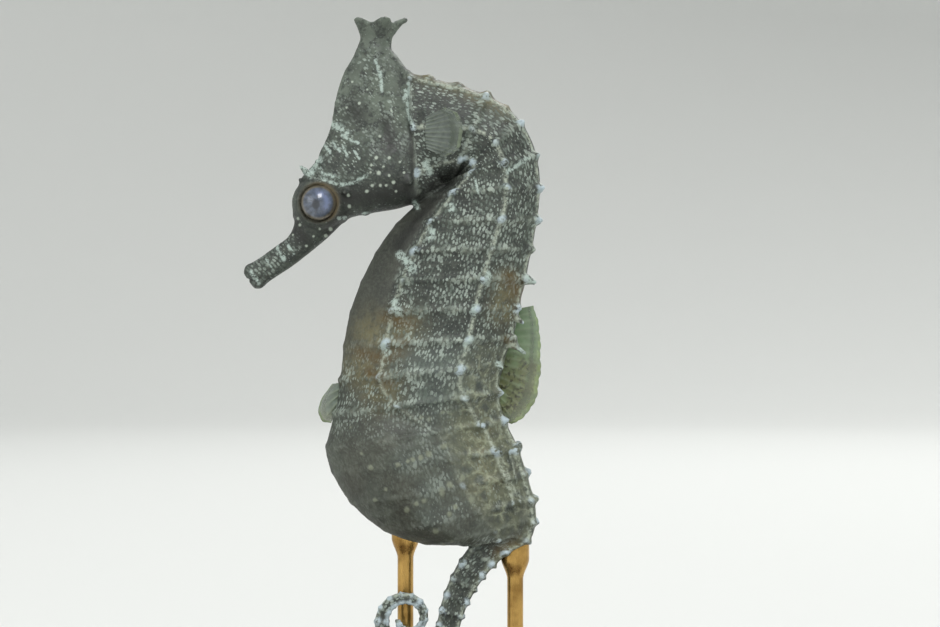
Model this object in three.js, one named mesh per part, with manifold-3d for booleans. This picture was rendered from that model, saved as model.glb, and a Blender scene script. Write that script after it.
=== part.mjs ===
// A brooding male seahorse, life size, held still on a flat base by two short rods.
// Millimetres, +Z up. The animal faces -X and its plane of symmetry is Y = 0.
// The origin is the centre of the base's underside.

import * as THREE from 'three';
import { mergeVertices } from 'three/addons/utils/BufferGeometryUtils.js';
import Module from 'manifold-3d';

const wasm = await Module();
wasm.setup();

// ---------------------------------------------------------------- driving dimensions

const GAP = 0.3; // clear space between neighbouring pieces

// Body rings run from 1, behind the gill cover, to 11, the last of the trunk, and on through the tail.
// Each key section lies across the body at one ring: back and front are its ends in the XZ plane.
const TORSO = [
  { ring: 1, back: [-4.0, 85.0], front: [-2.9, 69.0], halfWidth: 3.4 },
  { ring: 1.5, back: [1.5, 83.6], front: [0.3, 70.9], halfWidth: 3.7 },
  { ring: 2, back: [6.2, 82.2], front: [2.1, 71.9], halfWidth: 4.1 },
  { ring: 3, back: [10.4, 78.6], front: [2.6, 72.3], halfWidth: 4.8 },
  { ring: 4, back: [12.2, 74.4], front: [1.6, 71.5], halfWidth: 5.3 },
  { ring: 5, back: [12.6, 70.4], front: [-1.7, 69.5], halfWidth: 5.6 },
  { ring: 6, back: [12.2, 66.4], front: [-5.6, 66.0], halfWidth: 5.9 },
  { ring: 7, back: [11.5, 62.8], front: [-8.1, 62.4], halfWidth: 6.0 },
  { ring: 8, back: [10.7, 59.1], front: [-9.9, 58.8], halfWidth: 6.1 },
  { ring: 9, back: [9.9, 55.4], front: [-11.3, 55.0], halfWidth: 6.1 },
  { ring: 10, back: [9.1, 51.8], front: [-12.1, 50.8], halfWidth: 6.1 },
  { ring: 11, back: [7.8, 48.4], front: [-12.6, 46.5], halfWidth: 6.1 },
  { ring: 12, back: [7.4, 45.1], front: [-13.3, 42.3], halfWidth: 6.3 },
  { ring: 13, back: [8.3, 41.5], front: [-14.4, 38.0], halfWidth: 6.6 },
  { ring: 14, back: [9.9, 38.1], front: [-13.6, 35.0], halfWidth: 6.6 },
  { ring: 15, back: [10.8, 34.9], front: [-11.3, 31.1], halfWidth: 6.1 },
  { ring: 16, back: [11.6, 31.6], front: [-7.0, 27.5], halfWidth: 5.2 },
  { ring: 17, back: [11.6, 28.9], front: [-2.0, 25.9], halfWidth: 4.0 },
  { ring: 18, back: [10.4, 27.0], front: [2.8, 25.8], halfWidth: 2.9 },
];

// The tail proper starts inside the back of the brood pouch and bends forward below it.
const TAIL_ROOT = [
  { ring: 14, back: [9.8, 38.1], front: [3.5, 36.3], halfWidth: 3.5 },
  { ring: 15, back: [10.8, 34.9], front: [4.3, 33.5], halfWidth: 3.4 },
  { ring: 16, back: [11.8, 31.6], front: [5.1, 31.0], halfWidth: 3.2 },
  { ring: 17, back: [12.0, 28.8], front: [6.1, 29.4], halfWidth: 2.9 },
  { ring: 18, back: [11.1, 26.4], front: [6.4, 28.3], halfWidth: 2.6 },
  { ring: 19, back: [8.5, 24.8], front: [5.8, 27.4], halfWidth: 2.2 },
  { ring: 20, back: [6.8, 23.3], front: [3.8, 25.9], halfWidth: 1.9 },
];

// Past ring 20 the tail is a sweep that straightens a little and then curls forward into a spiral.
const FREE_TAIL = {
  firstRing: 20,
  rings: 25,
  firstSpacing: 2.2,
  lastSpacing: 0.6,
  sweepLength: 9.4,
  sweepRadius: -19,
  curlStartRadius: 5.2,
  curlEndRadius: 1.25,
  tipDepth: 0.8,
  taper: 1.15,
  step: 0.05,
};

// Where the body's length is parted into nodes, as ring numbers.
const PARTING = {
  neck: 3.5,
  chest: 6.5,
  trunk: 11,
  tailBend: 16.2,
  tailSweep: 20,
  tailCurl: 27,
  tailTip: 36,
};

// Section outlines: share of the depth from the back, and share of the half width, at each ridge.
const OUTLINES = {
  neck: [[0, 0], [0.05, 0.5], [0.45, 1], [0.8, 0.8], [0.93, 0.45], [1, 0]],
  trunk: [[0, 0], [0.02, 0.48], [0.26, 1], [0.74, 0.78], [0.9, 0.42], [1, 0]],
  pouch: [[0, 0], [0.02, 0.3], [0.13, 0.52], [0.36, 0.7], [0.7, 1], [1, 0]],
  tail: [[0.05, 0], [0.02, 0.48], [0.08, 0.86], [0.92, 0.86], [0.98, 0.48], [0.95, 0]],
};
const OUTLINE_AT_RING = [
  { ring: 3, outline: 'neck' },
  { ring: 5.5, outline: 'trunk' },
  { ring: 11, outline: 'trunk' },
  { ring: 13.5, outline: 'pouch' },
  { ring: 18, outline: 'pouch' },
];
const ROUNDNESS = 0.65; // 0 joins the ridges with flat faces, 1 with full curves

// Relief of the bony rings: a low band at each ring, and a blunt spine where a ring crosses a ridge.
const RELIEF = { band: 0.14, torsoSpine: 0.5, tailSpine: 0.3, spineReach: 0.16 };
const SPINE_CORNERS = [1, 2, 3]; // superior, lateral and inferior ridge in an outline

// The head: a face lofted along the snout's axis, and a tall crown lofted upward.
const SNOUT_TIP = [-23.9, 58.9];
const SNOUT_SLOPE = THREE.MathUtils.degToRad(35);
const FACE = [
  { along: 0, above: 1.2, below: 1.2, halfWidth: 0.95 },
  { along: 0.7, above: 1.75, below: 1.7, halfWidth: 1.35 },
  { along: 2.0, above: 1.6, below: 1.55, halfWidth: 1.25 },
  { along: 5.5, above: 1.6, below: 1.65, halfWidth: 1.4 },
  { along: 7.6, above: 1.75, below: 1.55, halfWidth: 1.6 },
  { along: 9.1, above: 2.9, below: 1.45, halfWidth: 1.95 },
  { along: 10.8, above: 4.8, below: 1.3, halfWidth: 2.3 },
  { along: 12.3, above: 6.5, below: 1.1, halfWidth: 2.6 },
  { along: 14.6, above: 7.2, below: 0.8, halfWidth: 3.0 },
  { along: 17.2, above: 7.6, below: 1.8, halfWidth: 3.5 },
  { along: 20.6, above: 8.0, below: 3.4, halfWidth: 3.85 },
  { along: 24.5, above: 7.0, below: 4.6, halfWidth: 3.6 },
  { along: 27.0, above: 6.0, below: 4.8, halfWidth: 3.3 },
];
const SNOUT_ROOT = 7.4; // distance along the axis where the snout meets the head
const CROWN = [
  { z: 71.5, front: -14.6, back: -2.2, halfWidth: 3.7 },
  { z: 74.4, front: -15.2, back: -2.2, halfWidth: 3.5 },
  { z: 76.4, front: -14.3, back: -2.2, halfWidth: 3.1 },
  { z: 78.5, front: -13.6, back: -2.2, halfWidth: 2.75 },
  { z: 81.0, front: -13.2, back: -2.4, halfWidth: 2.5 },
  { z: 83.0, front: -12.7, back: -3.0, halfWidth: 2.3 },
  { z: 85.0, front: -12.0, back: -3.9, halfWidth: 2.1 },
  { z: 86.5, front: -11.1, back: -5.0, halfWidth: 1.9 },
  { z: 87.9, front: -10.4, back: -6.1, halfWidth: 1.75 },
];
const CROWN_TAPER = 0.35; // how much narrower the crown's front is than its back
const CORONET = { z: 88.05, height: 3.4, centre: -8.2, waist: 2.15, rim: 3.0, points: 5, pointDepth: 0.2 };
const CORONET_WIDTH = 0.8; // its width across Y as a share of its length along X
const CORONET_LEAN = 0.5; // how far its rim leans back over its base

const EYE = { x: -15.0, y: 2.6, z: 68.5, radius: 2.25 };
const ORBIT = { rimRadius: 2.85, rootRadius: 3.4, rimReach: 3.5, rootReach: 1.0 };
const BROW_SPINE = { x: -15.2, y: 1.9, z: 72.2, radius: 0.55, height: 1.7, lean: 0.5 };
const CHEEK_SPINE = { x: -11.4, y: 2.9, z: 69.6, radius: 0.45, height: 1.2, lean: 2.2 };

const FIN_THICKNESS = 0.6;
const DORSAL_FIN = {
  rootTop: [8.2, 55.4],
  tipTop: [11.6, 55.8],
  outerTop: [12.4, 53.6],
  outerBottom: [12.6, 46.4],
  tipBottom: [9.6, 40.6],
  rootBottom: [6.9, 42.2],
};
const ANAL_FIN = {
  rootTop: [-12.2, 46.9],
  tipTop: [-14.1, 45.0],
  outerTop: [-15.2, 42.9],
  outerBottom: [-15.0, 41.3],
  tipBottom: [-13.9, 40.9],
  rootBottom: [-12.9, 42.4],
};
const PECTORAL_FIN = { x: -1.4, y: 4.3, z: 77.1, length: 4.6, rootHalf: 2.1, edgeHalf: 3.2, splay: 0.36 };

const BASE = { length: 56, width: 36, height: 6, cornerRadius: 7, bevel: 0.8 };
const ROD = { radius: 1.0, holeDepth: 4, holeClearance: 0.1, sides: 18 };
const COLLAR = { radius: 2.2, height: 1.5, shoulder: 0.5 }; // where a rod enters the base
const CRADLE_RADIUS = 1.8; // the cup at a rod's top, shaped to the body that rests in it
const TAIL_ROD = { x: 9.4, y: 0, cradle: 22.9, top: 27 };
const POUCH_ROD = { x: -4.4, y: 3.1, cradle: 25.2, top: 29.6 };

// ---------------------------------------------------------------- small helpers

const lerp = THREE.MathUtils.lerp;

// A smooth curve through unevenly spaced values.
function spline(knots, values, at) {
  const last = knots.length - 1;
  let i = 0;
  while (i < last - 1 && at > knots[i + 1]) i += 1;
  const slope = (k) => {
    const a = Math.max(k - 1, 0);
    const b = Math.min(k + 1, last);
    return (values[b] - values[a]) / (knots[b] - knots[a]);
  };
  const span = knots[i + 1] - knots[i];
  const t = THREE.MathUtils.clamp((at - knots[i]) / span, 0, 1);
  const t2 = t * t;
  const t3 = t2 * t;
  const start = (2 * t3 - 3 * t2 + 1) * values[i] + (t3 - 2 * t2 + t) * span * slope(i);
  return start + (3 * t2 - 2 * t3) * values[i + 1] + (t3 - t2) * span * slope(i + 1);
}

// The section {back, front, halfWidth} of a keyed table at any ring.
function keyedSection(table, ring) {
  const knots = table.map((key) => key.ring);
  const read = (pick) => spline(knots, table.map(pick), ring);
  return {
    back: new THREE.Vector2(read((k) => k.back[0]), read((k) => k.back[1])),
    front: new THREE.Vector2(read((k) => k.front[0]), read((k) => k.front[1])),
    halfWidth: read((k) => k.halfWidth),
  };
}

// A closed solid through rings of points, each with the same count, with flat ends.
function loft(rings) {
  const count = rings[0].length;
  const points = rings.flat();
  const index = [];
  for (let r = 0; r + 1 < rings.length; r += 1) {
    for (let i = 0; i < count; i += 1) {
      const a = r * count + i;
      const b = r * count + ((i + 1) % count);
      index.push(a, b, b + count, a, b + count, a + count);
    }
  }
  [rings[0], rings[rings.length - 1]].forEach((ring, end) => {
    const middle = new THREE.Vector3();
    ring.forEach((p) => middle.addScaledVector(p, 1 / count));
    points.push(middle);
    const offset = end === 0 ? 0 : (rings.length - 1) * count;
    for (let i = 0; i < count; i += 1) {
      const a = offset + i;
      const b = offset + ((i + 1) % count);
      index.push(...(end === 0 ? [b, a, points.length - 1] : [a, b, points.length - 1]));
    }
  });
  const geometry = new THREE.BufferGeometry().setFromPoints(points);
  geometry.setIndex(index);
  return geometry;
}

// Turns a closed geometry into a manifold-3d solid, and its faces outward.
function solid(geometry) {
  const plain = geometry.clone();
  plain.deleteAttribute('normal');
  plain.deleteAttribute('uv');
  const merged = mergeVertices(plain, 1e-5);
  const make = (triangles) => new wasm.Manifold(new wasm.Mesh({
    numProp: 3,
    vertProperties: new Float32Array(merged.attributes.position.array),
    triVerts: new Uint32Array(triangles),
  }));
  const forward = make(merged.index.array);
  if (forward.volume() > 0) return forward;
  const flipped = Array.from(merged.index.array);
  for (let i = 0; i < flipped.length; i += 3) [flipped[i], flipped[i + 1]] = [flipped[i + 1], flipped[i]];
  return make(flipped);
}

function geometryOf(body) {
  const { vertProperties, triVerts } = body.getMesh();
  const geometry = new THREE.BufferGeometry();
  geometry.setAttribute('position', new THREE.BufferAttribute(new Float32Array(vertProperties), 3));
  geometry.setIndex(Array.from(triVerts));
  geometry.computeVertexNormals();
  return geometry;
}

// A plate in the XZ plane, centred on Y = 0.
function plate(shape, thickness) {
  const settings = { depth: thickness, bevelEnabled: false, curveSegments: 6 };
  const geometry = new THREE.ExtrudeGeometry(shape, settings);
  geometry.rotateX(Math.PI / 2);
  geometry.translate(0, thickness / 2, 0);
  return geometry;
}

// ---------------------------------------------------------------- body sections

// The ridge corners at a ring: a mix of the two nearest outlines.
function cornersAt(ring) {
  const last = OUTLINE_AT_RING.length - 1;
  let i = 0;
  while (i < last - 1 && ring > OUTLINE_AT_RING[i + 1].ring) i += 1;
  const [from, to] = [OUTLINE_AT_RING[i], OUTLINE_AT_RING[i + 1]];
  const t = THREE.MathUtils.smoothstep(ring, from.ring, to.ring);
  return OUTLINES[from.outline].map((corner, k) => [
    lerp(corner[0], OUTLINES[to.outline][k][0], t),
    lerp(corner[1], OUTLINES[to.outline][k][1], t),
  ]);
}

// The points round one section. Corners run from the back down one side to the front and up the other.
function sectionPoints({ back, front, halfWidth }, corners, { steps, grow = 0, spine = 0 }) {
  const axis = front.clone().sub(back);
  const depth = axis.length();
  axis.normalize();
  const flat = corners.map(([down, side], k) => {
    const point = new THREE.Vector2((down - 0.5) * depth, side * halfWidth);
    const size = point.length();
    const reach = size + grow + (SPINE_CORNERS.includes(k) ? spine : 0);
    return point.multiplyScalar(reach / size);
  });
  const mirrored = flat.slice(1, -1).reverse().map((p) => new THREE.Vector2(p.x, -p.y));
  const loop = [...flat, ...mirrored];
  const middle = back.clone().add(front).multiplyScalar(0.5);
  const points = [];
  for (let i = 0; i < loop.length; i += 1) {
    const [p0, p1, p2, p3] = [-1, 0, 1, 2].map((k) => loop[(i + k + loop.length) % loop.length]);
    for (let j = 0; j < steps; j += 1) {
      const t = j / steps;
      const straight = p1.clone().lerp(p2, t);
      const curved = new THREE.Vector2(
        catmullRom(t, p0.x, p1.x, p2.x, p3.x),
        catmullRom(t, p0.y, p1.y, p2.y, p3.y),
      );
      const p = straight.lerp(curved, ROUNDNESS);
      points.push(new THREE.Vector3(middle.x + axis.x * p.x, p.y, middle.y + axis.y * p.x));
    }
  }
  return points;
}

function catmullRom(t, p0, p1, p2, p3) {
  const v0 = (p2 - p0) * 0.5;
  const v1 = (p3 - p1) * 0.5;
  const t2 = t * t;
  const t3 = t * t2;
  return (2 * p1 - 2 * p2 + v0 + v1) * t3 + (-3 * p1 + 3 * p2 - 2 * v0 - v1) * t2 + v0 * t + p1;
}

// Ring numbers to cut a loft at: its ends, each ring with a station close on both sides, and between rings.
function stations(from, to) {
  const reach = from < PARTING.tailCurl ? RELIEF.spineReach : 0;
  const found = [];
  for (let ring = Math.floor(from); ring <= Math.ceil(to); ring += 1) {
    found.push(ring - reach, ring, ring + reach, ring + 0.5);
  }
  const inside = found.filter((r) => r > from + reach / 2 && r < to - reach / 2);
  return [...new Set([from, ...inside, to])].sort((a, b) => a - b);
}

const isRing = (r) => Math.abs(r - Math.round(r)) < 1e-6;
const bandAt = (r) => RELIEF.band * Math.cos(2 * Math.PI * r);

// Moves a section square to itself, towards higher ring numbers if the distance is positive.
function shifted({ back, front, halfWidth }, distance) {
  const across = front.clone().sub(back).normalize();
  const onward = new THREE.Vector2(-across.y, across.x).multiplyScalar(distance);
  return { back: back.clone().add(onward), front: front.clone().add(onward), halfWidth };
}

// A length of body between two rings. Its ends stand half a gap short, unless it is grown as a cutter.
function bodySolid(from, to, sectionAt, pointsOf) {
  const rings = stations(from, to);
  return solid(loft(rings.map((r) => {
    const inset = r === from ? GAP / 2 : r === to ? -GAP / 2 : 0;
    return pointsOf(shifted(sectionAt(r), inset), r);
  })));
}

function torsoSolid(from, to, extra = 0) {
  return bodySolid(from, to, (r) => keyedSection(TORSO, r), (section, r) => sectionPoints(
    section,
    cornersAt(r),
    { steps: 2, grow: bandAt(r) + extra, spine: isRing(r) ? RELIEF.torsoSpine : 0 },
  ));
}

// ---------------------------------------------------------------- tail

// The free tail's centre line, walked in small steps from the end of the tail's root.
function walkFreeTail() {
  const root = keyedSection(TAIL_ROOT, FREE_TAIL.firstRing);
  const across = root.back.clone().sub(root.front);
  let heading = Math.atan2(across.y, across.x) + Math.PI / 2;
  if (Math.sin(heading) > 0) heading += Math.PI;
  const { firstSpacing, lastSpacing, rings, step, sweepRadius, curlStartRadius, curlEndRadius } = FREE_TAIL;
  const length = (rings * (firstSpacing + lastSpacing)) / 2;
  const place = root.back.clone().add(root.front).multiplyScalar(0.5);
  const curlLength = length - FREE_TAIL.sweepLength;
  const path = [];
  for (let s = 0; s <= length + step / 2; s += step) {
    path.push({ x: place.x, z: place.y, heading });
    const curled = (s - FREE_TAIL.sweepLength) / curlLength;
    const radius = curled < 0 ? sweepRadius : lerp(curlStartRadius, curlEndRadius, curled);
    heading -= step / radius;
    place.x += Math.cos(heading) * step;
    place.y += Math.sin(heading) * step;
  }
  return { path, length, depth: across.length(), halfWidth: root.halfWidth };
}

const freeTail = walkFreeTail();
const LAST_RING = FREE_TAIL.firstRing + FREE_TAIL.rings;

// Distance along the free tail to a ring, with the rings drawing closer together towards the tip.
function freeTailDistance(ring) {
  const k = ring - FREE_TAIL.firstRing;
  const closing = (FREE_TAIL.firstSpacing - FREE_TAIL.lastSpacing) / FREE_TAIL.rings;
  return FREE_TAIL.firstSpacing * k - (closing * k * k) / 2;
}

function tailSection(ring) {
  if (ring <= FREE_TAIL.firstRing) return keyedSection(TAIL_ROOT, ring);
  const distance = freeTailDistance(ring);
  const at = Math.min(Math.round(distance / FREE_TAIL.step), freeTail.path.length - 1);
  const { x, z, heading } = freeTail.path[at];
  const left = Math.max(1 - distance / freeTail.length, 0) ** FREE_TAIL.taper;
  const depth = lerp(FREE_TAIL.tipDepth, freeTail.depth, left);
  const halfWidth = lerp(FREE_TAIL.tipDepth / 2, freeTail.halfWidth, left);
  const toBack = new THREE.Vector2(-Math.sin(heading), Math.cos(heading)).multiplyScalar(depth / 2);
  const centre = new THREE.Vector2(x, z);
  return { back: centre.clone().add(toBack), front: centre.clone().sub(toBack), halfWidth };
}

function tailSolid(from, to, extra = 0) {
  return bodySolid(from, to, tailSection, (section, r) => {
    const size = section.halfWidth / TAIL_ROOT[0].halfWidth;
    const spine = isRing(r) && r < LAST_RING ? RELIEF.tailSpine * size : 0;
    return sectionPoints(section, OUTLINES.tail, { steps: 1, grow: bandAt(r) * size + extra, spine });
  });
}

// ---------------------------------------------------------------- head

const faceAxis = new THREE.Vector2(Math.cos(SNOUT_SLOPE), Math.sin(SNOUT_SLOPE));
const faceUp = new THREE.Vector2(-faceAxis.y, faceAxis.x);

// An oval section of the face, square to the axis of the snout.
function facePoints(along, sides) {
  const knots = FACE.map((key) => key.along);
  const read = (name) => spline(knots, FACE.map((key) => key[name]), along);
  const [above, below, halfWidth] = [read('above'), read('below'), read('halfWidth')];
  const centre = new THREE.Vector2(...SNOUT_TIP).addScaledVector(faceAxis, along);
  centre.addScaledVector(faceUp, (above - below) / 2);
  const points = [];
  for (let i = 0; i < sides; i += 1) {
    const turn = (2 * Math.PI * i) / sides;
    const up = (Math.cos(turn) * (above + below)) / 2;
    points.push(new THREE.Vector3(
      centre.x + faceUp.x * up,
      Math.sin(turn) * halfWidth,
      centre.y + faceUp.y * up,
    ));
  }
  return points;
}

function faceSolid(from, to, sides) {
  const inside = FACE.map((key) => key.along).filter((along) => along > from && along < to);
  return solid(loft([from, ...inside, to].map((along) => facePoints(along, sides))));
}

// The crown's horizontal sections are egg-shaped, narrower in front.
function crownSolid() {
  const sides = 18;
  const rings = CROWN.map(({ z, front, back, halfWidth }) => {
    const ring = [];
    for (let i = 0; i < sides; i += 1) {
      const turn = (2 * Math.PI * i) / sides;
      const across = Math.sin(turn) * halfWidth * (1 + CROWN_TAPER * Math.cos(turn));
      ring.push(new THREE.Vector3(lerp(front, back, (1 + Math.cos(turn)) / 2), across, z));
    }
    return ring;
  });
  return solid(loft(rings));
}

// The raised rim that the eye sits in, as a low cone on each side of the face.
function orbitSolid(side) {
  const sides = 16;
  const profile = [
    new THREE.Vector2(0, 0),
    new THREE.Vector2(ORBIT.rootRadius, 0),
    new THREE.Vector2(ORBIT.rootRadius, ORBIT.rootReach),
    new THREE.Vector2(ORBIT.rimRadius, ORBIT.rimReach),
    new THREE.Vector2(0, ORBIT.rimReach),
  ];
  const cone = new THREE.LatheGeometry(profile, sides);
  cone.rotateX(side > 0 ? Math.PI / 2 : -Math.PI / 2);
  cone.translate(EYE.x, 0, EYE.z);
  return solid(cone);
}

function eyeSolid(side, extra = 0) {
  const ball = new THREE.SphereGeometry(EYE.radius + extra, 16, 8);
  ball.translate(EYE.x, EYE.y * side, EYE.z);
  return solid(ball);
}

// A blunt spine, rooted in the head and leaning outward.
function spineSolid(spine, side) {
  const rooted = spine.height * 2;
  const cone = new THREE.ConeGeometry(spine.radius * 2, rooted, 8);
  cone.rotateX(Math.PI / 2);
  cone.rotateX(-spine.lean * side);
  cone.translate(spine.x, spine.y * side, spine.z);
  return solid(cone);
}

// A half space in front of ring 1, so that the head ends where the neck starts.
function headSide() {
  const { back, front } = keyedSection(TORSO, 1);
  const along = back.clone().sub(front).normalize();
  const outward = new THREE.Vector2(-along.y, along.x);
  if (outward.x > 0) outward.negate();
  const size = 80;
  const box = new THREE.BoxGeometry(size, size, size);
  box.rotateY(-Math.atan2(outward.y, outward.x) + Math.PI);
  const middle = back.clone().add(front).multiplyScalar(0.5).addScaledVector(outward, size / 2 + GAP / 2);
  box.translate(middle.x, 0, middle.y);
  return solid(box);
}

function headSolid() {
  let head = faceSolid(SNOUT_ROOT + GAP / 2, FACE[FACE.length - 1].along, 20).add(crownSolid());
  for (const side of [-1, 1]) {
    head = head.add(orbitSolid(side)).add(spineSolid(BROW_SPINE, side)).add(spineSolid(CHEEK_SPINE, side));
  }
  for (const side of [-1, 1]) head = head.subtract(eyeSolid(side, GAP));
  return head.intersect(headSide()).subtract(torsoSolid(PARTING.neck, PARTING.chest, GAP));
}

// The coronet: a waisted crown that flares into five blunt points round a shallow cup.
function coronetSolid() {
  const sides = 25;
  const ringAt = (up, radius, star) => {
    const ring = [];
    for (let i = 0; i < sides; i += 1) {
      const turn = (2 * Math.PI * i) / sides;
      const reach = radius * (1 + star * CORONET.pointDepth * Math.cos(CORONET.points * turn));
      const lift = star * 0.3 * Math.cos(CORONET.points * turn);
      ring.push(new THREE.Vector3(
        CORONET.centre + CORONET_LEAN * up + Math.cos(turn) * reach,
        Math.sin(turn) * reach * CORONET_WIDTH,
        CORONET.z + CORONET.height * up + lift,
      ));
    }
    return ring;
  };
  return solid(loft([
    ringAt(0, CORONET.waist, 0),
    ringAt(0.35, CORONET.waist * 0.94, 0.2),
    ringAt(0.7, lerp(CORONET.waist, CORONET.rim, 0.5), 0.7),
    ringAt(0.93, CORONET.rim, 1),
    ringAt(0.97, CORONET.rim * 0.8, 0.8),
    ringAt(0.75, CORONET.rim * 0.35, 0),
  ]));
}

// ---------------------------------------------------------------- pouch and tail root

// Divides the hind body: the pouch is what lies in front of this line, and the tail's root behind it.
const POUCH_LINE = [[-1.2, 50], [-0.2, 44], [1.2, 39.5], [2.8, 35.6], [4.5, 31.9], [6.9, 31], [6.9, 22]];

function pouchSide(shift, reach) {
  const shape = new THREE.Shape();
  const line = POUCH_LINE.map(([x, z]) => [x + shift, z]);
  shape.moveTo(reach, line[0][1]);
  line.forEach(([x, z]) => shape.lineTo(x, z));
  shape.lineTo(reach, line[line.length - 1][1]);
  shape.closePath();
  return solid(plate(shape, 40));
}

function pouchSolid() {
  return torsoSolid(PARTING.trunk, 18)
    .intersect(pouchSide(-GAP / 2, -30))
    .subtract(tailSolid(TAIL_ROOT[0].ring, PARTING.tailCurl, GAP));
}

function tailBaseSolid() {
  return torsoSolid(PARTING.trunk, PARTING.tailBend)
    .intersect(pouchSide(GAP / 2, 30))
    .add(tailSolid(TAIL_ROOT[0].ring, PARTING.tailBend))
    .subtract(tailSolid(PARTING.tailBend, PARTING.tailCurl, GAP));
}

// ---------------------------------------------------------------- fins

function finShape({ rootTop, tipTop, outerTop, outerBottom, tipBottom, rootBottom }) {
  const shape = new THREE.Shape();
  shape.moveTo(...rootTop);
  shape.lineTo(...tipTop);
  shape.quadraticCurveTo(tipTop[0] + Math.sign(outerTop[0] - tipTop[0]), tipTop[1], ...outerTop);
  shape.lineTo(...outerBottom);
  shape.quadraticCurveTo(outerBottom[0], tipBottom[1] + 1, ...tipBottom);
  shape.lineTo(...rootBottom);
  shape.closePath();
  return shape;
}

function dorsalFinSolid() {
  return solid(plate(finShape(DORSAL_FIN), FIN_THICKNESS)).subtract(torsoSolid(8, 14, GAP));
}

function analFinSolid() {
  return solid(plate(finShape(ANAL_FIN), FIN_THICKNESS)).subtract(torsoSolid(10, 14, GAP));
}

// A fan with its root upright against the neck, spread backward and a little outward.
function pectoralFinGeometry(side) {
  const { x, y, z, length, rootHalf, edgeHalf, splay } = PECTORAL_FIN;
  const shape = new THREE.Shape();
  shape.moveTo(0, rootHalf);
  shape.quadraticCurveTo(length * 0.6, edgeHalf * 1.15, length * 0.9, edgeHalf * 0.7);
  shape.quadraticCurveTo(length * 1.08, 0, length * 0.9, -edgeHalf * 0.7);
  shape.quadraticCurveTo(length * 0.6, -edgeHalf * 1.15, 0, -rootHalf);
  shape.closePath();
  const fan = plate(shape, FIN_THICKNESS);
  fan.rotateZ(splay * side);
  fan.translate(x, y * side, z);
  return fan;
}

// ---------------------------------------------------------------- stand

function baseShape() {
  const { length, width, cornerRadius, bevel } = BASE;
  const [x, y] = [length / 2 - bevel, width / 2 - bevel];
  const r = cornerRadius - bevel;
  const shape = new THREE.Shape();
  shape.moveTo(-x + r, -y);
  shape.lineTo(x - r, -y);
  shape.absarc(x - r, -y + r, r, -Math.PI / 2, 0);
  shape.lineTo(x, y - r);
  shape.absarc(x - r, y - r, r, 0, Math.PI / 2);
  shape.lineTo(-x + r, y);
  shape.absarc(-x + r, y - r, r, Math.PI / 2, Math.PI);
  shape.lineTo(-x, -y + r);
  shape.absarc(-x + r, -y + r, r, Math.PI, 1.5 * Math.PI);
  return shape;
}

function cylinder(radius, from, to, { x, y }) {
  const rod = new THREE.CylinderGeometry(radius, radius, to - from, ROD.sides);
  rod.rotateX(Math.PI / 2);
  rod.translate(x, y, (from + to) / 2);
  return solid(rod);
}

function baseSolid() {
  const { height, bevel } = BASE;
  const block = new THREE.ExtrudeGeometry(baseShape(), {
    depth: height - 2 * bevel,
    bevelThickness: bevel,
    bevelSize: bevel,
    bevelSegments: 2,
    curveSegments: 4,
  });
  block.translate(0, 0, bevel);
  const bottom = height - ROD.holeDepth;
  const hole = (rod) => cylinder(ROD.radius + ROD.holeClearance, bottom, height + 1, rod);
  return solid(block).subtract(hole(TAIL_ROD)).subtract(hole(POUCH_ROD));
}

// A rod with a collar just above the base, and a cup at its top that is cut to the body it holds.
function rodSolid(rod, body) {
  const seat = BASE.height + GAP;
  const profile = [
    [0, BASE.height - ROD.holeDepth],
    [ROD.radius, BASE.height - ROD.holeDepth],
    [ROD.radius, seat],
    [COLLAR.radius, seat],
    [COLLAR.radius, seat + COLLAR.height - COLLAR.shoulder],
    [COLLAR.radius - COLLAR.shoulder, seat + COLLAR.height],
    [ROD.radius, seat + COLLAR.height],
    [ROD.radius, rod.cradle],
    [CRADLE_RADIUS, rod.cradle + CRADLE_RADIUS - ROD.radius],
    [CRADLE_RADIUS, rod.top],
    [0, rod.top],
  ];
  const turned = new THREE.LatheGeometry(profile.map(([r, z]) => new THREE.Vector2(r, z)), ROD.sides);
  turned.rotateX(Math.PI / 2);
  turned.translate(rod.x, rod.y, 0);
  return solid(turned).subtract(body);
}

// ---------------------------------------------------------------- materials and scene graph

function finish(color, roughness, metalness = 0) {
  return new THREE.MeshStandardMaterial({ color, roughness, metalness });
}

const MATERIALS = {
  skin: finish('#5b6059', 0.62),
  pouch: finish('#65685e', 0.58),
  eye: finish('#6a7296', 0.15),
  fin: finish('#8a8f70', 0.5),
  base: finish('#3a2a20', 0.45),
  rod: finish('#b08a45', 0.3, 1),
};

const model = new THREE.Group();

function addPiece(name, shape, material) {
  const geometry = shape.isBufferGeometry ? shape : geometryOf(shape);
  const mesh = new THREE.Mesh(geometry, material);
  mesh.name = name;
  model.add(mesh);
}

const { neck, chest, trunk, tailBend, tailSweep, tailCurl, tailTip } = PARTING;

addPiece('head', headSolid(), MATERIALS.skin);
addPiece('snout', faceSolid(0, SNOUT_ROOT - GAP / 2, 16), MATERIALS.skin);
addPiece('coronet', coronetSolid(), MATERIALS.skin);
addPiece('neck', torsoSolid(1, neck).subtract(torsoSolid(neck, chest, GAP)), MATERIALS.skin);
addPiece('chest', torsoSolid(neck, chest), MATERIALS.skin);
addPiece('trunk', torsoSolid(chest, trunk), MATERIALS.skin);
addPiece('brood_pouch', pouchSolid(), MATERIALS.pouch);
addPiece('tail_base', tailBaseSolid(), MATERIALS.skin);
addPiece('tail_bend', tailSolid(tailBend, tailSweep), MATERIALS.skin);
addPiece('tail_sweep', tailSolid(tailSweep, tailCurl), MATERIALS.skin);
addPiece('tail_curl', tailSolid(tailCurl, tailTip), MATERIALS.skin);
addPiece('tail_tip', tailSolid(tailTip, LAST_RING), MATERIALS.skin);
addPiece('dorsal_fin', dorsalFinSolid(), MATERIALS.fin);
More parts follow.
